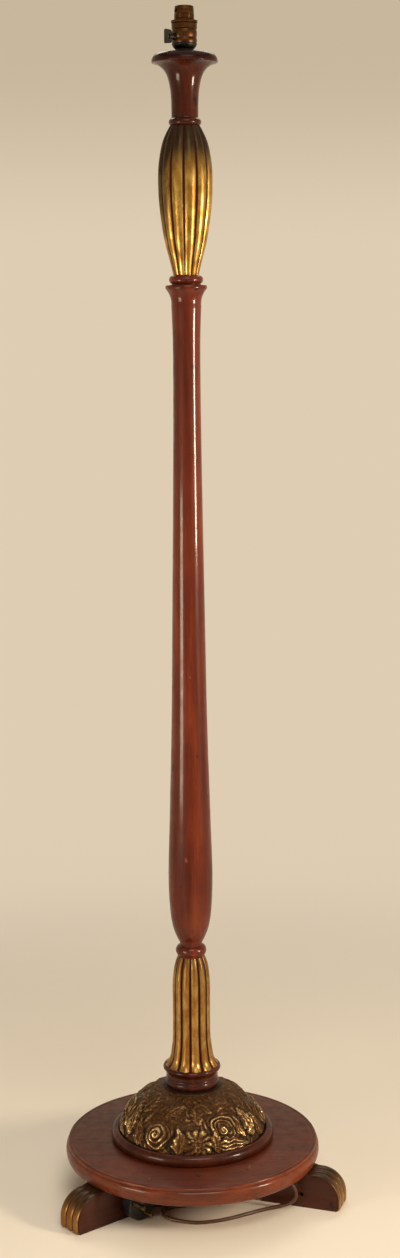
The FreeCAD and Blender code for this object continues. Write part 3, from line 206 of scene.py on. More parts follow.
# ------------------------------ finishes
def polished_mahogany(name, grain=(1, 1, 0.05), turn=0.0, tone=1.0, wear=0.35, gloss=0.2,
                      low=None, high=None, fade=(0.0, 1.0), brown=0.0, coat=0.5):
    """French-polished mahogany: streaked figure, short dark pores, rubbed lighter patches and
    a few small bruises. A painted shade may darken it, from low to high over the fade's heights."""
    f = Finish(name)
    along = f.place(grain, turn)
    figure = f.noise(along, 46.0, 5.0, 0.6, 0.7)
    streaks = f.noise(along, 210.0, 4.0, 0.65)
    pores = f.noise(f.place(tuple(0.6 * g + 0.4 * g * g for g in grain), turn), 1500.0, 2.0, 0.5)
    cloud = f.noise(f.place(turn=turn), 9.0, 3.0, 0.5)
    bruise = f.noise(f.place((1, 1, 0.6)), 62.0, 2.0, 0.5)

    def toned(red, green, blue):
        return shade(red * tone, green * tone, blue * tone)

    wood = f.ramp(figure, (0.28, toned(62, 17, 6)), (0.5, toned(104, 36, 13)),
                  (0.75, toned(138, 56, 24)))
    wood = f.mix(brown, wood, toned(104, 60, 38))
    wood = f.mix(f.band(streaks, 0.42, 0.7) * 0.6, wood, toned(66, 22, 9))
    wood = f.mix(f.band(cloud, 0.45, 0.75) * wear, wood, toned(150, 68, 33))
    wood = f.mix(f.band(pores, 0.6, 0.72) * 0.55, wood, shade(36, 9, 5))
    rub = f.noise(f.place(), 70.0, 5.0, 0.6)
    coat = f.band(rub, 0.2, 0.8, coat, coat * 0.56)
    # painted shade: the wood darkens from low to high over the fade's heights, and its coat thins
    # there
    if low is not None:
        dark = f.band(f.part("Z"), fade[0], fade[1], low, high)
        wood = f.mix(dark, wood, shade(44, 13, 9))
        coat = coat * (1.0 - dark * 0.85)
    wood = f.mix(f.band(bruise, 0.74, 0.77) * 0.3, wood, toned(190, 118, 72))
    wood = f.mix(f.band(bruise, 0.29, 0.265) * 0.75, wood, shade(30, 10, 7))
    return f.surface(Base_Color=wood, Roughness=f.band(rub, 0.3, 0.75, gloss + 0.1, gloss + 0.26),
                     Specular_IOR_Level=0.12, Coat_Weight=coat, Coat_Roughness=gloss * 0.45,
                     Normal=f.bump(pores * 0.6 + streaks * 0.4, 0.12, 0.0004))


def antiqued_gilding(name, dim_from, dim_to, dim=0.8, brown=0.0, bare=0.46, side=None):
    """Gold leaf toned with umber, worn to a dark red ground in the grooves. It dims from one
    height to another and further down on the left side: both are painted shade."""
    f = Finish(name)
    depth = f.attribute("groove")
    height = f.part("Z")
    mottle = f.noise(f.place((1, 1, 0.45)), 85.0, 6.0, 0.65, 0.4)
    fine = f.noise(f.place((1, 1, 0.3)), 420.0, 4.0, 0.6)
    speck = f.noise(f.place(), 640.0, 3.0, 0.6)
    gold = f.ramp(mottle, (0.27, shade(112, 74, 32)), (0.47, shade(172, 130, 58)),
                  (0.7, shade(232, 194, 110)))
    gold = f.mix(f.band(fine, 0.54, 0.74) * 0.4, gold, shade(126, 80, 36))
    gold = f.mix(f.band(speck, 0.62, 0.7) * 0.7, gold, shade(88, 40, 20))
    gold = f.mix(brown, gold, shade(120, 74, 38))
    gold = f.mix(f.band(depth, 0.3, 0.85) * 0.6, gold, shade(124, 72, 32))
    # painted shade: darker from dim_from to dim_to
    painted_shade = f.band(height + (mottle - 0.5) * 0.03, dim_from, dim_to)
    # painted shade on the left side, over the side's heights
    if side:
        left = f.band(f.part("X"), -0.017, -0.031) * f.band(height, *side)
        painted_shade = (painted_shade + left * 0.8).clamped()
    gold = f.mix(painted_shade * dim, gold, shade(40, 26, 13))
    ground = f.band(depth + (fine - 0.5) * 0.14, bare, bare + 0.24)
    colour = f.mix(ground, gold, shade(58, 14, 8))
    metal = 1.0 - ground * 0.9 - painted_shade * 0.45
    return f.surface(Base_Color=colour, Metallic=metal.clamped() * 0.8, Specular_IOR_Level=0.2,
                     Roughness=f.band(mottle, 0.3, 0.7, 0.38, 0.24) + ground * 0.2 + speck * 0.06,
                     Normal=f.bump(mottle * 0.6 + fine * 0.25 + speck * 0.15, 0.25, 0.0006))


def carved_gilding(name):
    """Bronzed carving: dark umber in the hollows, rubbed gold on what stands proud, brightest
    low down; the upper leaves are browner, a painted shade."""
    f = Finish(name)
    relief = f.attribute("relief")
    height = f.part("Z")
    patch = f.noise(f.place(), 26.0, 5.0, 0.6, 0.5)
    fine = f.noise(f.place(), 260.0, 5.0, 0.65)
    umber = f.ramp(fine, (0.3, shade(42, 25, 12)), (0.55, shade(80, 52, 25)),
                   (0.75, shade(112, 72, 36)))
    umber = f.mix(f.band(relief, 0.48, 0.16), umber, shade(30, 17, 9))
    umber = f.mix(f.band(patch, 0.5, 0.72) * 0.4, umber, shade(84, 40, 25))
    middle = f.mix(f.band(relief + (fine - 0.5) * 0.2, 0.45, 0.75) * 0.6, umber,
                   shade(112, 74, 38))
    # painted shade: the gilt fades towards the top of the dome
    painted_shade_upward = f.band(height + (patch - 0.5) * 0.04, 0.146, 0.1, 0.3, 1.0)
    gilt = f.band(relief + (fine - 0.5) * 0.4 + (patch - 0.5) * 0.7, 0.56, 0.94) * painted_shade_upward
    gold = f.ramp(fine, (0.3, shade(132, 100, 56)), (0.7, shade(232, 204, 146)))
    metal = gilt * 0.4 + f.band(relief, 0.3, 0.6) * 0.45 + 0.15
    return f.surface(Base_Color=f.mix(gilt, middle, gold), Metallic=metal.clamped(),
                     Roughness=0.42 - gilt * 0.18 + (fine - 0.5) * 0.2, Specular_IOR_Level=0.12,
                     Normal=f.bump(fine, 0.25, 0.0006))


def aged_brass(name, light, dark, spots, rough, metal=0.95, scale=120.0, bump=0.15,
               grain=(1, 1, 1)):
    """Brass with a worn, uneven patina."""
    f = Finish(name)
    cloud = f.noise(f.place(grain), scale, 5.0, 0.6, 0.3)
    fine = f.noise(f.place(), 900.0, 4.0, 0.6)
    colour = f.ramp(cloud, (0.32, shade(*dark)), (0.66, shade(*light)))
    colour = f.mix(f.band(fine, 0.56, 0.74) * 0.6, colour, shade(*spots))
    return f.surface(Base_Color=colour, Metallic=metal - f.band(fine, 0.5, 0.8) * 0.25,
                     Roughness=rough + (cloud - 0.5) * 0.22, Normal=f.bump(fine, bump, 0.0002))


def plain_stuff(name, light, dark, scale, rough, coat=0.0, bump=0.12):
    """Moulded, glazed or rubber stuff: a slight mottle, handling dulls it here and there."""
    f = Finish(name)
    mottle = f.noise(f.place(), scale, 5.0, 0.6)
    dust = f.noise(f.place(), scale * 0.22, 3.0, 0.5)
    colour = f.ramp(mottle, (0.3, shade(*dark)), (0.7, shade(*light)))
    return f.surface(Base_Color=colour, Coat_Weight=coat,
                     Roughness=f.band(dust, 0.3, 0.7, rough * 0.85, rough * 1.2),
                     Normal=f.bump(mottle, bump, 0.0002))


# painted shade: the shaft darkens towards its foot
spindle_wood = polished_mahogany("polished_mahogany_spindle", tone=1.02, coat=0.62,
                                 low=0.3, high=0.0, fade=(0.36, 0.85))
# painted shade: the cup darkens from its rim's widest point up to the top
cup_wood = polished_mahogany("polished_mahogany_cup", tone=0.64, wear=0.15, gloss=0.1, coat=0.34,
                             low=0.0, high=0.85, fade=(1.5395, 1.5425))
ring_wood = polished_mahogany("polished_mahogany_rings", tone=0.62, wear=0.4, brown=0.15,
                              coat=0.28)
# painted shade: the plinth's top face is darker than its rim
plinth_wood = polished_mahogany("polished_mahogany_plinth", (0.05, 1, 1), tone=0.98, wear=0.45,
                                gloss=0.3, brown=0.4, low=0.0, high=0.5, fade=(0.0722, 0.0736))
foot_wood = {name: polished_mahogany("polished_mahogany_" + name, (0.06, 1, 1), -angle, tone=0.56,
                                     gloss=0.36, brown=0.35, coat=0.35)
             for name, angle in FOOT_ANGLES.items()}
# painted shade: the bulb darkens towards its top and on its left side
bulb_gilding = antiqued_gilding("antiqued_gilding_bulb", 1.388, 1.436, dim=0.95, bare=0.38,
                                side=(1.29, 1.36))
# painted shade: the column's gilding darkens towards its top
column_gilding = antiqued_gilding("antiqued_gilding_column", 0.29, 0.35, dim=0.6, brown=0.4,
                                  bare=0.2)
# painted shade: the feet's gilding darkens towards their tops
foot_gilding = antiqued_gilding("antiqued_gilding_feet", 0.016, 0.048, dim=0.9, brown=0.75)
dome_gilding = carved_gilding("bronzed_carving")
holder_brass = aged_brass("aged_copper_brass", (98, 62, 32), (70, 44, 24), (44, 29, 18), 0.37,
                          scale=70.0, bump=0.01, grain=(1, 1, 6))
blackened = aged_brass("blackened_brass", (50, 47, 40), (27, 25, 21), (14, 13, 11), 0.46, 0.7)
contact_brass = aged_brass("contact_brass", (150, 118, 68), (118, 88, 48), (84, 60, 34), 0.34)
# the plug pins' brass is duller than the contact brass, and darker too: a painted shade where they
# lie by the foot under the plinth
pin_brass = aged_brass("pin_brass", (118, 94, 58), (82, 64, 40), (52, 40, 26), 0.42)
steel = aged_brass("dull_steel", (146, 142, 136), (98, 94, 90), (70, 62, 54), 0.36)
spring_steel = aged_brass("spring_steel", (170, 168, 164), (134, 132, 128), (96, 92, 88), 0.3)
porcelain = plain_stuff("glazed_porcelain", (232, 228, 216), (214, 208, 192), 160.0, 0.22,
                        coat=0.5, bump=0.05)
cam_stuff = plain_stuff("brown_moulding", (132, 88, 54), (98, 62, 38), 300.0, 0.5)
rubber = plain_stuff("black_rubber", (30, 29, 28), (18, 17, 17), 700.0, 0.62, bump=0.3)
flex_sheath = plain_stuff("brown_flex_sheath", (98, 62, 36), (64, 39, 23), 420.0, 0.42, bump=0.15)
plug_black = plain_stuff("black_moulding", (24, 23, 22), (14, 13, 13), 240.0, 0.34,
                         coat=0.25, bump=0.06)


# ------------------------------ shapes
def smooth_line(points, steps):
    """A natural cubic curve through points, by chord length."""
    p = np.array(points, float)
    t = np.concatenate([[0], np.cumsum(np.linalg.norm(np.diff(p, axis=0), axis=1))])
    n = len(p)
    h = np.diff(t)
    system = np.eye(n)
    right = np.zeros_like(p)
    for i in range(1, n - 1):
        system[i, i - 1:i + 2] = h[i - 1], 2 * (h[i - 1] + h[i]), h[i]
        right[i] = 6 * ((p[i + 1] - p[i]) / h[i] - (p[i] - p[i - 1]) / h[i - 1])
    m = np.linalg.solve(system, right)
    line = []
    for u in np.linspace(0, t[-1], steps):
        i = min(max(np.searchsorted(t, u) - 1, 0), n - 2)
        a, b = t[i + 1] - u, u - t[i]
        line.append(m[i] * a ** 3 / 6 / h[i] + m[i + 1] * b ** 3 / 6 / h[i]
                    + (p[i] / h[i] - m[i] * h[i] / 6) * a
                    + (p[i + 1] / h[i] - m[i + 1] * h[i] / 6) * b)
    return line


class Outline:
    """A half profile drawn as (radius, height), closed back to its start."""

    def __init__(self, radius, height, base):
        self.base = base
        self.points = [(radius, height + base)]

    def line(self, radius, height):
        self.points.append((radius, height + self.base))
        return self

    def bow(self, radius, height, sag, steps=10):
        """An arc to a point, bowed by sag to the right of its way."""
        a = Vector(self.points[-1])
        b = Vector((radius, height + self.base))
        chord = b - a
        side = Vector((chord.y, -chord.x)).normalized()
        half = chord.length / 2
        swell = (half * half + sag * sag) / (2 * abs(sag))
        centre = (a + b) / 2 + side * (sag - math.copysign(swell, sag))
        start = a - centre
        whole = 2 * math.asin(min(1, half / swell)) * math.copysign(1, sag)
        for k in range(1, steps + 1):
            turn = Matrix.Rotation(whole * k / steps, 2)
            self.points.append(tuple(centre + turn @ start))
        return self

    def curve(self, points, steps):
        """A smooth curve on through points."""
        way = [self.points[-1]] + [(r, z + self.base) for r, z in points]
        self.points += [tuple(p) for p in smooth_line(way, steps)[1:]]
        return self


def placed(name, data):
    """A new object at the origin."""
    piece = bpy.data.objects.new(name, data)
    bpy.context.scene.collection.objects.link(piece)
    return piece


def outward(piece):
    """All faces turned outwards."""
    shell = bmesh.new()
    shell.from_mesh(piece.data)
    bmesh.ops.recalc_face_normals(shell, faces=shell.faces)
    shell.to_mesh(piece.data)
    shell.free()


def smoothed(piece, sharp):
    """Rounded shading, crisp where faces meet at more than an angle."""
    piece.data.shade_smooth()
    piece.data.set_sharp_from_angle(angle=math.radians(sharp))
    return piece


def mesh_piece(name, points, faces, materials, attributes=None, sharp=38.0, face_slots=None):
    mesh = bpy.data.meshes.new(name)
    mesh.from_pydata([tuple(np.array(p) * MM) for p in points], [], faces)
    for material in materials:
        mesh.materials.append(material)
    if face_slots is not None:
        mesh.polygons.foreach_set("material_index", face_slots)
    for key, values in (attributes or {}).items():
        mesh.attributes.new(key, "FLOAT", "POINT").data.foreach_set("value", values)
    piece = placed(name, mesh)
    outward(piece)
    return smoothed(piece, sharp)


def faces_between(rows, count, closed=True):
    """Quads between each row of a round outline and the next, the last row to the first."""
    return [(k * count + j, (k + 1) % rows * count + j,
             (k + 1) % rows * count + (j + 1) % count, k * count + (j + 1) % count)
            for k in range(rows if closed else rows - 1) for j in range(count)]


def taken_round(profile, steps):
    """The points of a profile at each step round the stem's axis."""
    angles = [2 * math.pi * k / steps for k in range(steps)]
    return [(r * math.cos(a), r * math.sin(a), z) for a in angles for r, z in profile]


def turned(name, outline, material, steps=128):
    """An outline turned about the stem's axis."""
    return mesh_piece(name, taken_round(outline.points, steps),
                      faces_between(steps, len(outline.points)), [material])


def baked(piece):
    """The piece with its modifiers turned into plain mesh."""
    graph = bpy.context.evaluated_depsgraph_get()
    mesh = bpy.data.meshes.new_from_object(piece.evaluated_get(graph))
    piece.modifiers.clear()
    piece.data = mesh
    return piece


def ring_tree():
    """Copies of a piece set round the stem's axis, joined where they meet."""
    tree = bpy.data.node_groups.new("ring_of_copies", "GeometryNodeTree")
    tree.is_modifier = True
    face = tree.interface
    face.new_socket("Geometry", in_out="INPUT", socket_type="NodeSocketGeometry")
    sizes = {"Count": ("NodeSocketInt", 12), "Start Angle": ("NodeSocketFloat", 0.0),
             "Join Distance": ("NodeSocketFloat", 1e-5), "Finish": ("NodeSocketMaterial", None)}
    for name, (kind, value) in sizes.items():
        socket = face.new_socket(name, in_out="INPUT", socket_type=kind)
        if value is not None:
            socket.default_value = value
    face.new_socket("Geometry", in_out="OUTPUT", socket_type="NodeSocketGeometry")
    made = {}

    def add(key, kind, links, values=None, operation=None):
        node = tree.nodes.new(kind)
        if operation:
            node.operation = operation
        for a, b in (values or {}).items():
            node.inputs[a].default_value = b
        for a, (source, out) in links.items():
            tree.links.new(made[source].outputs[out], node.inputs[a])
        made[key] = node

    add("in", "NodeGroupInput", {})
    add("line", "GeometryNodeMeshLine", {"Count": ("in", "Count")}, {"Offset": (0, 0, 0)})
    add("index", "GeometryNodeInputIndex", {})
    add("step", "ShaderNodeMath", {1: ("in", "Count")}, {0: 2 * math.pi}, "DIVIDE")
    add("angle", "ShaderNodeMath",
        {0: ("index", "Index"), 1: ("step", 0), 2: ("in", "Start Angle")}, None, "MULTIPLY_ADD")
    add("turn", "ShaderNodeCombineXYZ", {"Z": ("angle", 0)})
    add("copies", "GeometryNodeInstanceOnPoints",
        {"Points": ("line", "Mesh"), "Instance": ("in", "Geometry"),
         "Rotation": ("turn", "Vector")})
    add("real", "GeometryNodeRealizeInstances", {"Geometry": ("copies", "Instances")})
    add("joined", "GeometryNodeMergeByDistance",
        {"Geometry": ("real", "Geometry"), "Distance": ("in", "Join Distance")})
    add("finished", "GeometryNodeSetMaterial",
        {"Geometry": ("joined", "Geometry"), "Material": ("in", "Finish")})
    add("out", "NodeGroupOutput", {"Geometry": ("finished", "Geometry")})
    return tree


RING_OF_COPIES = ring_tree()


def round_the_stem(piece, count, start, material):
    """The piece repeated round the stem by the ring tree and turned into plain mesh."""
    modifier = piece.modifiers.new("ring", "NODES")
    modifier.node_group = RING_OF_COPIES
    wanted = {"Count": count, "Start Angle": math.radians(start), "Finish": material}
    for item in RING_OF_COPIES.interface.items_tree:
        if item.in_out == "INPUT" and item.name in wanted:
            modifier[item.identifier] = wanted[item.name]
    baked(piece)
    outward(piece)
    return smoothed(piece, 40)


def reeded(name, outline, depths, material, across=14):
    """One reed's share of a closed outline, its depth given point by point, then ringed."""
    profile = outline.points
    half = math.pi / REEDS
    points, groove = [], []
    for k in range(across + 1):
        t = 2 * k / across - 1
        for (radius, z), depth in zip(profile, depths):
            chord = radius * (1 - depth)
            low = Vector((chord * math.cos(half), -chord * math.sin(half)))
            crest = Vector((radius, 0))
            rise = crest.x - low.x
            swell = (low.y ** 2 + rise ** 2) / (2 * rise) if depth else radius
            span = math.asin(min(1, -low.y / swell)) if depth else half
            centre = crest.x - swell
            points.append((centre + swell * math.cos(span * t), swell * math.sin(span * t), z))
            groove.append(abs(t) ** 3 if depth else 0.35)
    faces = faces_between(across + 1, len(profile), closed=False)
    reed = mesh_piece(name, points, faces, [material], {"groove": groove})
    return round_the_stem(reed, REEDS, REED_PHASE + math.degrees(half), material)


def cut(piece, cutters):
    """The piece with cylinders and cones cut out: (place, way, radius, far radius, length)."""
    tool = bmesh.new()
    for place, way, radius, far, length in cutters:
        way = Vector(way).normalized()
        turn = way.to_track_quat("Z", "Y").to_matrix().to_4x4()
        middle = (Vector(place) + way * length / 2) * MM
        bmesh.ops.create_cone(tool, cap_ends=True, segments=32, radius1=radius * MM,
                              radius2=far * MM, depth=length * MM,
                              matrix=Matrix.Translation(middle) @ turn)
    mesh = bpy.data.meshes.new("cutter")
    tool.to_mesh(mesh)
    tool.free()
    cutter = placed("cutter", mesh)
    modifier = piece.modifiers.new("holes", "BOOLEAN")
    modifier.operation = "DIFFERENCE"
    modifier.solver = "EXACT"
    modifier.object = cutter
    baked(piece)
    bpy.data.objects.remove(cutter)
    return smoothed(piece, 38)


def softened(node, material, sharp=32.0):
    """A joined copy of a CAD node with rounded shading."""
    name = node + "_finished"
    shell = bmesh.new()
    shell.from_mesh(nodes[node].data)
    bmesh.ops.remove_doubles(shell, verts=shell.verts, dist=2e-6)
    mesh = bpy.data.meshes.new(name)
    shell.to_mesh(mesh)
    shell.free()
    mesh.materials.clear()
    mesh.materials.append(material)
    mesh.polygons.foreach_set("material_index", [0] * len(mesh.polygons))
    piece = placed(name, mesh)
    outward(piece)
    return smoothed(piece, sharp)


def dress(piece, node, body="stand"):
    """The piece takes a node's place and moves with a body."""
    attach(piece, body)
    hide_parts(node)
    return piece


# ------------------------------ turned pieces
def on_tenon(base):
    """An outline begun at the bore, round the tenon under a piece."""
    return Outline(STEM_BORE, -TENON[1], base).line(TENON[0], -TENON[1]).line(TENON[0], 0)


def down_socket(side, top):
    """Down the socket in a piece's top, to the bore."""
    side.line(SOCKET[0], top).line(SOCKET[0], top - SOCKET[1])
    return side.line(STEM_BORE, top - SOCKET[1])


def shaft_outline():
    bead, lip, top = 20.0, 919.1, 930.1
    side = on_tenon(SHAFT_FOOT)
    side.line(18.2, 0).line(18.7, 0.5).line(18.7, 2.0).bow(18.7, 14.5, 2.5, 14).line(15.4, 15.5)
    side.line(15.4, bead - 0.5)
    side.curve([(22.1, bead + 13.6), (28.3, bead + 44.2), (30.4, bead + 87.7), (28.7, bead + 158),
                (27.1, bead + 213.5), (25.7, bead + 259), (22.6, bead + 423.5),
                (20.5, bead + 566.5), (18.8, bead + 696.5), (18.2, bead + 789),
                (18.9, bead + 847.5), (19.9, bead + 869.7)], 150)
    side.bow(26.0, lip - 8.0, -2.2).bow(26.6, lip - 2.0, 1.2).line(19.1, lip - 1.0)
    side.line(19.1, lip).bow(19.1, top - 0.5, 3.4, 14).line(18.1, top)
    return down_socket(side, top)


def cup_outline():
    top = CUP_TOP - CUP_FOOT
    rim = top - 10.8
    side = on_tenon(CUP_FOOT).line(18.1, 0).bow(18.1, 9.0, 3.1, 14).line(17.4, 10.0)
    side.curve([(17.6, 27), (18.5, 42), (21.1, 57), (23.9, 65), (29.2, 72.5), (34.9, rim - 3.8),
                (41.6, rim - 1.6)], 60)
    side.bow(43.0, rim, 0.5, 5).bow(36.8, top - 0.7, 1.7, 12).line(34.5, top)
    side.line(9.55, top).line(9.55, top - 1.5)
    side.line(NIPPLE_HOLE, top - 1.5).line(NIPPLE_HOLE, top - 20)
    return side.line(STEM_BORE, top - 20)


def ring_outline():
    side = Outline(COLUMN_SOCKET[0], 0, DOME_TOP).line(34.8, 0).bow(35.8, 9.8, 2.0, 14)
    return side.bow(34.7, 13.3, 0.5, 5).line(COLUMN_SOCKET[0], 13.3)


def dome_ring_outline():
    inner = DOME[0] + 0.1
    side = Outline(inner, 0, PLINTH_TOP).line(110.6, 0)
    return side.bow(inner + 3.5, 16.0, 4.95, 18).line(inner, 15.0)


def plinth_outline():
    top = 26.0
    mouth, deep = FLEX_MOUTH
    side = Outline(mouth, 0, FOOT_TOP).line(172, 0).bow(176.8, 5.5, 1.2).bow(176.5, 19.0, 1.2, 6)
    side.line(174.5, 20.6).line(174.7, 21.2).bow(171.5, top, 1.6).line(169.5, 25.2)
    side.line(167.5, 25.6).line(165.5, top).line(COLUMN_SOCKET[0], top)
    side.line(COLUMN_SOCKET[0], top - COLUMN_SOCKET[1]).line(STEM_BORE, top - COLUMN_SOCKET[1])
    return side.line(STEM_BORE, deep).line(mouth, deep)


dress(turned("shaft_turning", shaft_outline(), spindle_wood), "turned_shaft")
dress(turned("cup_turning", cup_outline(), cup_wood), "candle_cup")
dress(turned("column_ring_turning", ring_outline(), ring_wood), "column_ring")
dress(turned("dome_ring_turning", dome_ring_outline(), ring_wood, 192), "dome_ring")

DOME_SCREW_REACH, DOME_SCREW_ANGLE = 70.0, 20.0
plinth = turned("plinth_board", plinth_outline(), plinth_wood, 256)
sinks = []
for k in range(4):
    turn = Matrix.Rotation(math.radians(DOME_SCREW_ANGLE + 90 * k), 3, "Z")
    place = turn @ Vector((DOME_SCREW_REACH, 0, FOOT_TOP - 0.2))
    sinks.append((place, (0, 0, 1), 4.65, 2.25, 2.4))
dress(cut(plinth, sinks), "plinth_disc")


# ------------------------------ reeded pieces
def bulb_piece():
    top = CUP_FOOT - BULB_FOOT
    side = Outline(16.8, 0, BULB_FOOT)
    side.curve([(21.2, 18), (27.1, 40), (31.8, 66), (35.0, 93), (36.1, 119), (35.6, 138),
                (33.2, 156), (28.6, 174), (19.9, top)], 90)
    reed = len(side.points)
    down_socket(side, top).line(STEM_BORE, -TENON[1]).line(TENON[0], -TENON[1]).line(TENON[0], 0)
    depths = [0.09] * reed + [0] * (len(side.points) - reed)
    return reeded("bulb_carving", side, depths, bulb_gilding)


def column_piece():
    lip, top = COLUMN_LIP, SHAFT_FOOT - COLUMN_FOOT
    side = Outline(37.4, lip + 0.6, COLUMN_FOOT)
    side.curve([(31.9, lip + 8.3), (29.3, lip + 19), (27.2, lip + 35), (26.3, lip + 58),
                (26.4, lip + 99), (26.2, lip + 122), (25.1, top - 24), (22.6, top - 10),
                (18.7, top)], 80)
    reed = len(side.points)
    down_socket(side, top).line(STEM_BORE, lip - 2).line(30.0, lip - 2)
    depths = [0.12] * reed + [0] * (len(side.points) - reed)
    return reeded("column_carving", side, depths, column_gilding)


def column_foot_piece():
    """The plain lip under the column's reeds, with the long tenon, of the column's own wood."""
    lip = COLUMN_LIP
    thick, long = COLUMN_TENON
    side = Outline(STEM_BORE, -long, COLUMN_FOOT).line(thick, -long).line(thick, 0)
    side.line(35.8, 0).line(36.2, 0.4).line(36.2, 1.5).bow(38.7, lip - 5.4, -1.2)
    side.bow(37.5, lip + 1.0, 2.0, 12).line(33.0, lip + 1.0)
    return turned("column_lip_turning", side.line(STEM_BORE, lip + 1.0), cup_wood)


dress(bulb_piece(), "reeded_bulb")
dress(column_piece(), "reeded_column")
dress(column_foot_piece(), "reeded_column")


# ------------------------------ feet
def foot_piece(name, angle):
    """Three rounded reeds run up over the toe; the sides are plain."""
    inner, reach, top, swell, toe, half = 108.0, 220.2, FOOT_TOP, 34.0, 5.0, 20.0
    reed_end, deep, screws, across = 179.0, 2.8, (138, 164), 48
    centre = (reach - swell, top - swell)
    path = [(reach - toe, 0.0, 0.0, -1.0)]
    for k in range(1, 7):
        a = math.radians(-90 + 90 * k / 6)
        path.append((reach - toe + toe * math.cos(a), toe + toe * math.sin(a),
                     math.cos(a), math.sin(a)))
    for k in range(25):
        a = math.radians(90 * k / 24)
        path.append((centre[0] + swell * math.cos(a), centre[1] + swell * math.sin(a),
                     math.cos(a), math.sin(a)))
    path += [(180.0, top, 0, 1), (174.0, top, 0, 1), (inner, top, 0, 1), (inner, 0, 0, 0)]
    points, groove = [], []
    for i in range(across + 1):
        y = half * (2 * i / across - 1)
        t = math.copysign(1, y) if i in (0, across) else (y / half * 3 + 3) % 2 - 1
        sunk = 1 - (1 - abs(t) ** 2.3) ** (1 / 2.3)
        for j, (x, z, nx, nz) in enumerate(path):
            share = 1.0 if x > reed_end and j < len(path) - 3 else 0.0
            share *= 0.0 if j == 0 else min(1, 0.35 + 0.65 * z / 6)
            points.append((x - nx * deep * sunk * share, y, z - nz * deep * sunk * share))
            groove.append(abs(t) ** 4 * share if share else 0.4)
    count = len(path)
    faces = faces_between(across + 1, count, closed=False)
    gilt = [1 if j < count - 3 else 0 for i in range(across) for j in range(count)]
    faces += [tuple(range(count)), tuple(across * count + j for j in reversed(range(count)))]
    gilt += [0, 0]
    turn = Matrix.Rotation(math.radians(angle), 3, "Z")
    points = [tuple(turn @ Vector(p)) for p in points]
    piece = mesh_piece(name + "_carving", points, faces, [foot_wood[name], foot_gilding],
                       {"groove": groove}, 42, gilt)
    holes = [(turn @ Vector((x, 0, -1)), (0, 0, 1), 5.2, 5.2, 25) for x in screws]
    if name == "foot_right":
        holes.append((turn @ Vector((166.0, -21, 18.5)), turn @ Vector((0, 1, 0)), 2.8, 2.8, 15))
    return cut(piece, holes)


for name, angle in FOOT_ANGLES.items():
    dress(foot_piece(name, angle), name)


# ------------------------------ carved dome
def volute(x, y, radius, pitch, hand, turn=0.0):
    """A wound scroll with a raised eye."""
    rho = np.hypot(x, y)
    wind = rho / pitch - hand * np.arctan2(y, x) / (2 * np.pi) + turn
    ridge = (0.5 + 0.5 * np.cos(2 * np.pi * wind)) ** 0.8
    body = np.clip((radius - rho) / 2.5, 0, 1)
    return body * (1.0 + 1.7 * ridge + 0.8 * (1 - rho / radius)) + 1.2 * np.exp(-(rho / 3.0) ** 2)


def wander(azimuth, rise):
    """A slow unevenness of the carver's hand, 0 to 1, the same in each third."""
    waves = sum(np.sin(np.radians(3 * turns * azimuth) + rise / length + start)
                for turns, length, start in ((2, 9.0, 0.4), (3, -13.0, 2.1), (5, 7.0, 4.4),
                                             (7, -6.0, 1.2), (9, 11.0, 5.1), (4, -5.0, 3.3)))
    return np.clip(0.5 + waves / 5.5, 0, 1)


def plumes(x, y, radius, pitch, hand, lobes):
    """Feathered ridges that follow a scroll round, dying away from it, and the way to it."""
    rho = np.hypot(x, y)
    gap = rho - radius
    angle = np.arctan2(y, x)
    wind = gap / pitch - hand * angle / (2 * np.pi) + 0.3 * np.cos(lobes * angle)
    ridge = (0.5 + 0.5 * np.cos(2 * np.pi * wind)) ** 1.2
    lobe = 0.6 + 0.4 * np.cos(lobes * angle + hand * rho / 5.0)
    return (0.3 + 1.7 * ridge * lobe) * (0.4 + 0.6 * np.exp(-np.clip(gap, 0, None) / 26)), gap


def leaf(x, y, length, width, heading, bend, lobes, flutes, lift):
    """A leaf from its stalk along a heading, with slanting veins or with long flutes."""
    c, s = math.cos(math.radians(heading)), math.sin(math.radians(heading))
    along, across = x * c + y * s, -x * s + y * c
    t = np.clip(along / length, 0, 1)
    across = across - bend * length * t ** 2
    scallop = 1 + 0.14 * np.cos(lobes * 2 * np.pi * t)
    u = across / (width / 2 * np.sin(np.pi * t ** 0.75) ** 0.7 * scallop + 1e-6)
    inside = (along > 0) & (along < length) & (np.abs(u) < 1)
    roof = np.sqrt(np.clip(1 - u ** 2, 0, 1))
    if flutes:
        vein = 0.5 + 0.5 * np.cos(2 * np.pi * flutes * (u + 1) / 2)
        body = 0.7 + 1.3 * roof + 1.3 * vein
    else:
        vein = 0.5 + 0.5 * np.cos(2 * np.pi * (lobes * t - 1.1 * np.abs(u)))
        body = 0.8 + 1.7 * roof + 0.8 * vein * np.abs(u) - 0.9 * np.exp(-(u / 0.14) ** 2)
    return np.where(inside, body, 0) * lift


def flower(x, y, radius, petals):
    """An open flower: a scalloped ring of petals, a smaller ring inside it and a hollow bud."""
    rho = np.hypot(x, y)
    angle = np.arctan2(y, x)
    petal = np.abs(np.cos(petals * angle / 2)) ** 0.7
    ring = np.clip((radius * (0.8 + 0.2 * petal) - rho) / 1.5, 0, 1)
    dish = 0.9 + 2.0 * petal * np.sin(np.pi * np.clip(rho / radius, 0, 1) ** 1.5) ** 0.8
    small = np.abs(np.cos((petals - 2) * angle / 2 + 0.6)) ** 0.6
    heart = np.clip((0.52 * radius * (0.75 + 0.25 * small) - rho) / 1.2, 0, 1) * (1.7 + 1.0 * small)
    bud = 3.1 * np.exp(-((rho - 0.17 * radius) / 1.7) ** 2)
    return np.maximum(np.maximum(ring * dish, heart), bud)


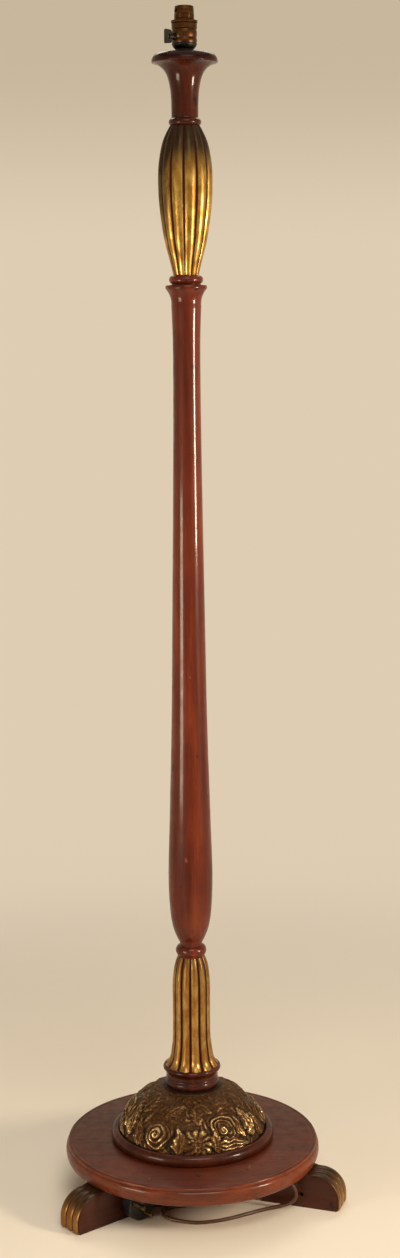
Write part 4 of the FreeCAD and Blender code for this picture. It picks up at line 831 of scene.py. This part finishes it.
def scroll_arch(x, y, radius, first, last):
    """Concentric ridges round part of a circle."""
    rho = np.hypot(x, y)
    angle = np.degrees(np.arctan2(y, x)) % 360
    share = np.clip(np.minimum(angle - first, last - angle) / 12, 0, 1)
    ridges = sum(tall * np.exp(-((rho - radius + inset) / wide) ** 2)
                 for tall, inset, wide in ((1.2, 0, 1.6), (0.85, 5, 1.4), (0.7, 9.5, 1.3)))
    return share * (0.6 * (rho < radius + 1) * (rho > radius - 11) + 2.3 * ridges)


def carving(azimuth, rise, radius):
    """Height of the ornament over the dome: azimuth in degrees from the front, rise from the
    dome's foot along its side. The design comes round three times."""
    def here(place, level):
        away = (azimuth - place + 60) % 120 - 60
        return np.radians(away) * radius, rise - level

    hand = wander(azimuth, rise)
    turn = np.radians(azimuth)  # the carver's lines waver a little
    azimuth = azimuth + 0.8 * np.sin(rise / 5.3 + 9 * turn) + 0.4 * np.sin(rise / 2.9 - 15 * turn)
    rise = rise + 1.2 * np.sin(12 * turn + rise / 8.0) + 0.6 * np.sin(27 * turn - rise / 4.0)
    ground = np.zeros_like(azimuth)
    nearest = np.full_like(azimuth, 1e3)
    for place, level, *scroll in (
        (-31.6, 36, 21, 7.6, 1, 5), (29, 47, 17, 6.8, -1, 4), (56, 62, 6, 8.0, 1, 4),
        (-2, 80, 5, 8.2, -1, 5), (38, 92, 5, 7.6, 1, 4), (-52, 82, 6, 8.0, -1, 4),
    ):
        ridges, gap = plumes(*here(place, level), *scroll)
        ground = np.where(gap < nearest, ridges, ground)
        nearest = np.minimum(nearest, gap)
    height = ground * (0.45 + 0.75 * hand) * np.clip((118 - rise) / 50, 0.6, 1)
    worn = 0.72 + 0.42 * hand
    motifs = [
        volute(*here(-31.6, 36), 21, 6.6, 1, 0.2) * (0.8 + 0.3 * hand),
        flower(*here(4.3, 28), 23, 11),
        scroll_arch(*here(29, 45), 18, -5, 215),
        volute(*here(28, 43), 9, 4.8, -1),
    ]
    motifs += [leaf(*here(place, level), *form) for place, level, *form in (
        (-47, 14, 34, 16, 112, -0.25, 4, 3, 0.9), (-18, 10, 26, 12, 160, 0.3, 3, 3, 0.9),
        (-9.5, 12, 38, 20, 98, -0.04, 3, 0, 1.2), (20, 14, 34, 13, 90, 0.1, 3, 0, 1.1),
        (18, 26, 56, 19, -9, -0.02, 4, 4, 1.05), (59, 24, 44, 21, 104, -0.1, 5, 4, 1.2),
        (47, 28, 30, 12, 108, -0.15, 3, 3, 0.9), (71, 16, 38, 17, 106, -0.1, 4, 3, 0.9),
        (5, 56, 30, 17, 86, 0.1, 4, 0, 0.75), (-27, 64, 28, 17, 60, -0.2, 4, 3, 0.68),
        (20, 70, 28, 16, 118, 0.2, 4, 3, 0.68), (-58, 62, 28, 16, 70, 0.15, 4, 0, 0.7),
    )]
    for motif in motifs:
        height = np.maximum(height, motif * worn)
    for place, level, size, lift in (
        (-31.6, 34, 19, 1.4), (4.3, 28, 19, 1.1), (29, 47, 17, 1.2), (58, 46, 15, 1.0),
        (-10, 32, 12, 0.8), (8, 68, 16, 0.9), (-34, 78, 18, 0.9), (44, 78, 15, 0.8),
    ):
        x, y = here(place, level)
        height = height + lift * np.exp(-(x * x + y * y) / size ** 2) - 0.35 * lift
    ripple = np.sin(azimuth * 1.9 + rise * 0.7) * np.sin(rise * 0.95 - azimuth * 0.8)
    return height + 0.2 * ripple


def proud(height, reach=5):
    """How far each place stands over its neighbourhood, 0 to 1."""
    mean = height
    for _ in range(2):
        wide = sum(np.roll(mean, k, axis=0) for k in range(-reach, reach + 1)) / (2 * reach + 1)
        padded = np.pad(wide, ((0, 0), (reach, reach)), mode="edge")
        mean = sum(padded[:, k:k + height.shape[1]] for k in range(2 * reach + 1)) / (2 * reach + 1)
    return np.clip(0.49 + (height - mean) / 2.8, 0, 1)


def dome_piece():
    base_radius, tall, swell = DOME
    across, up = 600, 150
    top_turn = math.asin(tall / swell)
    turns = np.linspace(0, top_turn, up)
    radius = base_radius * np.cos(turns)
    level = swell * np.sin(turns)
    rise = np.concatenate([[0], np.cumsum(np.hypot(np.diff(radius), np.diff(level)))])
    out_r, out_z = np.cos(turns) * swell, np.sin(turns) * base_radius
    size = np.hypot(out_r, out_z)
    azimuth = np.linspace(0, 360, across, endpoint=False)
    az, ri = np.meshgrid(azimuth, rise, indexing="ij")
    height = carving(az, ri, np.broadcast_to(radius, az.shape))
    edge = np.clip((ri - 8) / 10, 0, 1) * np.clip((rise[-1] - ri) / 5, 0, 1)
    lifted = (height + 0.9) * edge * 1.05
    r = radius + lifted * out_r / size
    z = level + lifted * out_z / size
    spin = np.radians(az - 90)
    outer = np.stack([r * np.cos(spin), r * np.sin(spin), PLINTH_TOP + z], axis=-1)
    wall = [COLUMN_SOCKET[0] * np.cos(spin[:, 0]), COLUMN_SOCKET[0] * np.sin(spin[:, 0])]
    inner = np.stack([np.stack(wall + [np.full(across, PLINTH_TOP + q)], axis=-1)
                      for q in (tall, 0.0)], axis=1)
    grid = np.concatenate([outer, inner], axis=1)
    relief = np.concatenate([proud(height) * edge, np.zeros((across, 2))], axis=1)
    return mesh_piece("dome_carving", grid.reshape(-1, 3), faces_between(across, up + 2),
                      [dome_gilding], {"relief": relief.reshape(-1)}, 75)


dress(dome_piece(), "carved_dome")


# ------------------------------ lampholder
def cap_outline():
    """The bell under the switch housing."""
    side = Outline(NIPPLE_HOLE, 0, CUP_TOP).line(11.6, 0).line(11.9, 4.9)
    side.bow(HOLDER - 0.2, 10.8, 0.6).line(HOLDER - 0.2, 12.3).line(HOLDER - 1.3, 12.3)
    return side.line(HOLDER - 1.9, 10.8).line(NIPPLE_HOLE + 3.5, 4.5).line(NIPPLE_HOLE, 4.5)


def housing_piece():
    """Two plump bands with a groove between them, holed for the bush and the lock screw."""
    rim, groove, tall = HOLDER - 1.3, HOLDER - 0.7, 17.0
    side = Outline(rim, 0, HOUSING_FOOT).line(groove, 0).bow(groove, 0.4 * tall, 0.7)
    side.bow(groove, tall, 0.7, 16).line(rim - 1.2, tall)
    side.line(rim - 1.2, tall - 1.2).line(rim, tall - 2.4)
    level = Vector((0, 0, HOUSING_FOOT + 0.43 * tall))
    holes = []
    for radius, degrees in ((3.45, 215.0), (1.05, 243.5)):
        way = Vector((math.cos(math.radians(degrees)), math.sin(math.radians(degrees)), 0))
        holes.append((way * (rim - 3) + level, way, radius, radius, 7.3))
    return cut(turned("housing_turning", side, holder_brass), holes)


dress(turned("cap_turning", cap_outline(), blackened), "holder_cap")
dress(housing_piece(), "switch_housing")
MOVING = {"shade_ring": "ring", "switch_key": "key",
          "contact_plunger_a": "plunger_a", "contact_plunger_b": "plunger_b"}
for names, slot, finish in (
    ("holder_shell", "holder_brass", holder_brass),
    ("wood_nipple", "holder_brass", blackened),
    ("porcelain_core", "white_porcelain", porcelain),
    ("key_bush", "blackened_brass", blackened),
    ("lock_screw", "holder_brass", steel),
    ("shade_ring", "holder_brass", holder_brass),
    ("switch_key", "blackened_brass", blackened),
    ("contact_plunger_a contact_plunger_b", "contact_brass", contact_brass),
    ("plug_base plug_cover", "plug_black", plug_black),
    ("plug_pins", "pin_brass", pin_brass),
    ("plug_sleeve flex_sleeve", "black_rubber", rubber),
    ("flex_saddles", "holder_brass", holder_brass),
):
    for node in names.split():
        dress(softened(node, finish, 14.0), node, MOVING.get(node, "stand"))

for node, finish in (
    ("foot_screws", steel), ("dome_screws", steel), ("saddle_screws", steel), ("plug_screw", steel),
    ("terminals", contact_brass), ("key_spindle", contact_brass), ("switch_cam", cam_stuff),
    ("inner_flex", flex_sheath),
):
    nodes[node].data.materials.clear()
    nodes[node].data.materials.append(finish)


for side in "ab":
    node = "plunger_spring_" + side
    spring = dress(softened(node, spring_steel), node)
    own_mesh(spring)


# ------------------------------ flex on the floor
FLEX_WIDTH = 5.0
FLOOR_LEVEL = 2.6
FLEX_EXIT = (116.742, -77.271, 43.9)
RUN = [
    (130.0, -86.0, 43.4), (140.5, -89.5, 33.8), (142.5, -87.0, 19.8), (134.5, -82.5, 8.8),
    (121.5, -80.5, 4.6), (100.5, -86.0, 3.1), (86.3, -93.2, 2.8),
] + [(x, y, FLOOR_LEVEL) for x, y in (
    (71.0, -101.9), (52.0, -112.5), (32.3, -120.4), (10.5, -125.7), (-9.5, -123.0),
    (-26.5, -116.3), (-38.0, -108.3), (-42.5, -97.0), (-39.3, -85.1), (-29.7, -77.4),
    (-17.0, -74.6), (0.0, -68.0), (19.0, -58.5), (36.5, -44.5), (47.2, -27.5), (51.8, -9.2),
    (52.6, 7.0),
)]
TAIL = [
    (-25.4, 7.0, 8.1), (-25.7, -7.0, 7.2), (-26.0, -21.0, 3.6), (-25.7, -34.5, FLOOR_LEVEL),
    (-26.3, -48.0, FLOOR_LEVEL), (-29.8, -61.0, FLOOR_LEVEL), (-36.74, -71.23, 2.65),
    (-44.722, -78.014, 6.879),
]
COIL_CENTRE, COIL_OUTER, COIL_PITCH = (15.0, 12.0), 37.5, 5.5
TURNS_IN, TURNS_CLIMB, TURNS_OUT, TURN_POINTS = 3.75, 0.5, 4.25, 16


def coil_points():
    """The coil's turns as control points: in on the floor, up one layer and out again."""
    points = []
    wide = 1 / math.cos(math.pi / TURN_POINTS)  # control points stand outside the turn
    inner = COIL_OUTER - COIL_PITCH * TURNS_IN
    for k in range(1, round((TURNS_IN + TURNS_CLIMB + TURNS_OUT) * TURN_POINTS)):
        turns = k / TURN_POINTS
        share = min(max((turns - TURNS_IN) / TURNS_CLIMB, 0), 1)
        radius = inner - COIL_PITCH * TURNS_CLIMB * math.sin(math.pi * share) / math.pi
        radius += COIL_PITCH * max(TURNS_IN - turns, turns - TURNS_IN - TURNS_CLIMB, 0)
        angle = 2 * math.pi * turns
        points.append((COIL_CENTRE[0] + wide * radius * math.cos(angle),
                       COIL_CENTRE[1] + wide * radius * math.sin(angle),
                       FLOOR_LEVEL + COIL_PITCH * (1 - math.cos(math.pi * share)) / 2))
    return points


def flex_piece():
    route = [FLEX_EXIT] + RUN + coil_points() + TAIL
    curve = bpy.data.curves.new("floor_flex", "CURVE")
    curve.dimensions = "3D"
    curve.bevel_depth = FLEX_WIDTH / 2 * MM
    curve.bevel_resolution = 5
    curve.resolution_u = 6
    curve.use_fill_caps = True
    line = curve.splines.new("NURBS")
    line.points.add(len(route) - 1)
    for point, place in zip(line.points, route):
        point.co = (*(MM * c for c in place), 1)
    line.use_endpoint_u = True
    line.order_u = 3
    curve.materials.append(flex_sheath)
    return placed("floor_flex", curve)


flex = flex_piece()
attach(flex, "stand")
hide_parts("lead_run", "lead_coil", "lead_tail")


# ------------------------------ stage, light and camera
def backdrop():
    """A pale round floor that sweeps up into a wall all round."""
    bend, wide, tall, steps = 4000.0, 13500.0, 11000.0, 96
    profile = [(1200.0, 0.0), (2400.0, 0.0), (wide - bend, 0.0)]
    for k in range(1, 25):
        a = math.radians(90 * k / 24)
        profile.append((wide - bend + bend * math.sin(a), bend - bend * math.cos(a)))
    profile.append((wide, tall))
    points = [(0.0, 0.0, 0.0)] + taken_round(profile, steps)
    count = len(profile)
    faces = []
    for k in range(steps):
        here, there = 1 + k * count, 1 + (k + 1) % steps * count
        faces.append((0, here, there))
        faces += [(here + j, here + j + 1, there + j + 1, there + j) for j in range(count - 1)]
    f = Finish("pale_cloth")
    cloud = f.noise(f.place(), 0.9, 3.0, 0.5)
    weave = f.noise(f.place(), 900.0, 2.0, 0.5)
    colour = f.ramp(cloud, (0.3, shade(236, 224, 204)), (0.7, shade(244, 233, 214)))
    lit = f.add("ShaderNodeBsdfPrincipled", {}, {
        "Base Color": colour, "Roughness": 0.85 + (weave - 0.5) * 0.1,
        "Normal": f.bump(weave, 0.08, 0.0005)}, out="BSDF")
    far = f.add("ShaderNodeVectorMath", {"operation": "LENGTH"}, {"0": f.place((1, 1, 0))},
                out="Value")
    # painted shade: the glow darkens towards the front of the floor and high up the wall
    paper = f.mix(f.band(f.part("Y") + (cloud - 0.5) * 0.4, -3.0, 2.2),
                  shade(184, 169, 146), shade(222, 205, 179))
    paper = f.mix(f.band(f.part("Z"), 1.6, 3.2), paper, shade(200, 183, 156))
    glow = f.add("ShaderNodeBsdfPrincipled", {}, {
        "Base Color": (0.0, 0.0, 0.0), "Specular IOR Level": 0.0, "Emission Color": paper,
        "Emission Strength": 1.0}, out="BSDF")
    seen = [f.add("ShaderNodeLightPath", out=ray) for ray in
            ("Is Camera Ray", "Is Glossy Ray", "Is Transmission Ray")]
    seen = (seen[0] + seen[1] + seen[2]).clamped() * f.band(far, 0.45, 1.6)
    both = f.add("ShaderNodeMixShader", {}, {"0": seen, "1": lit, "2": glow})
    f.tree.links.new(both.socket, f.output.inputs["Surface"])
    mesh = bpy.data.meshes.new("pale_floor")
    mesh.from_pydata([tuple(MM * c for c in p) for p in points], [], faces)
    mesh.materials.append(f.material)
    mesh.shade_smooth()
    placed("pale_floor", mesh)


def lamp(name, place, aim, wide, tall, watts, colour, spread=180):
    light = bpy.data.lights.new(name, "AREA")
    light.shape = "RECTANGLE"
    light.size, light.size_y = wide, tall
    light.energy = watts
    light.color = colour
    light.spread = math.radians(spread)
    piece = placed(name, light)
    piece.location = place
    piece.rotation_euler = (Vector(aim) - Vector(place)).to_track_quat("-Z", "Y").to_euler()
    piece.visible_camera = False


backdrop()
WINDOW_LIGHT = (1.0, 0.86, 0.68)
lamp("window_left", (-1.55, -1.3, 0.5), (0, 0, 0.75), 0.7, 0.7, 19, WINDOW_LIGHT)
lamp("window_right", (1.75, -0.85, 0.95), (0, 0, 1.05), 0.3, 0.45, 32, WINDOW_LIGHT)
lamp("rear_glow", (0, 2.2, 3.2), (0, 0, 0.8), 2.4, 1.2, 38, (1.0, 0.95, 0.88))
lamp("ceiling_glow", (0.2, -0.2, 3.4), (0, 0, 0), 3.0, 3.0, 20, (1.0, 0.96, 0.9))
lamp("front_glow", (0.3, -1.9, 2.7), (0, -0.3, 0), 1.6, 0.8, 5.6, (1.0, 0.93, 0.84), 75)

world = bpy.data.worlds.new("room")
bpy.context.scene.world = world
world.use_nodes = True
air = world.node_tree.nodes["Background"]
air.inputs["Color"].default_value = (*shade(238, 224, 200), 1)
air.inputs["Strength"].default_value = 0.1

PHOTO_HEIGHT, FOCAL_LENGTH, SIDE_SHIFT = 1258, 1981.8, 11.3  # in the photograph's pixels
STAND_POINT = (0, -2.646, 1.2259)
PITCH, ROLL = -9.21, -0.427
camera = bpy.data.cameras.new("camera")
camera.sensor_width = 36
camera.lens = FOCAL_LENGTH / PHOTO_HEIGHT * 36
camera.sensor_fit = "AUTO"
camera.shift_x = SIDE_SHIFT / PHOTO_HEIGHT
camera.clip_end = 60
eye = placed("camera", camera)
eye.matrix_world = (Matrix.Translation(STAND_POINT)
                    @ Matrix.Rotation(math.radians(90 + PITCH), 4, "X")
                    @ Matrix.Rotation(math.radians(ROLL), 4, "Z"))
bpy.context.scene.camera = eye
bpy.context.scene.view_settings.view_transform = "Standard"
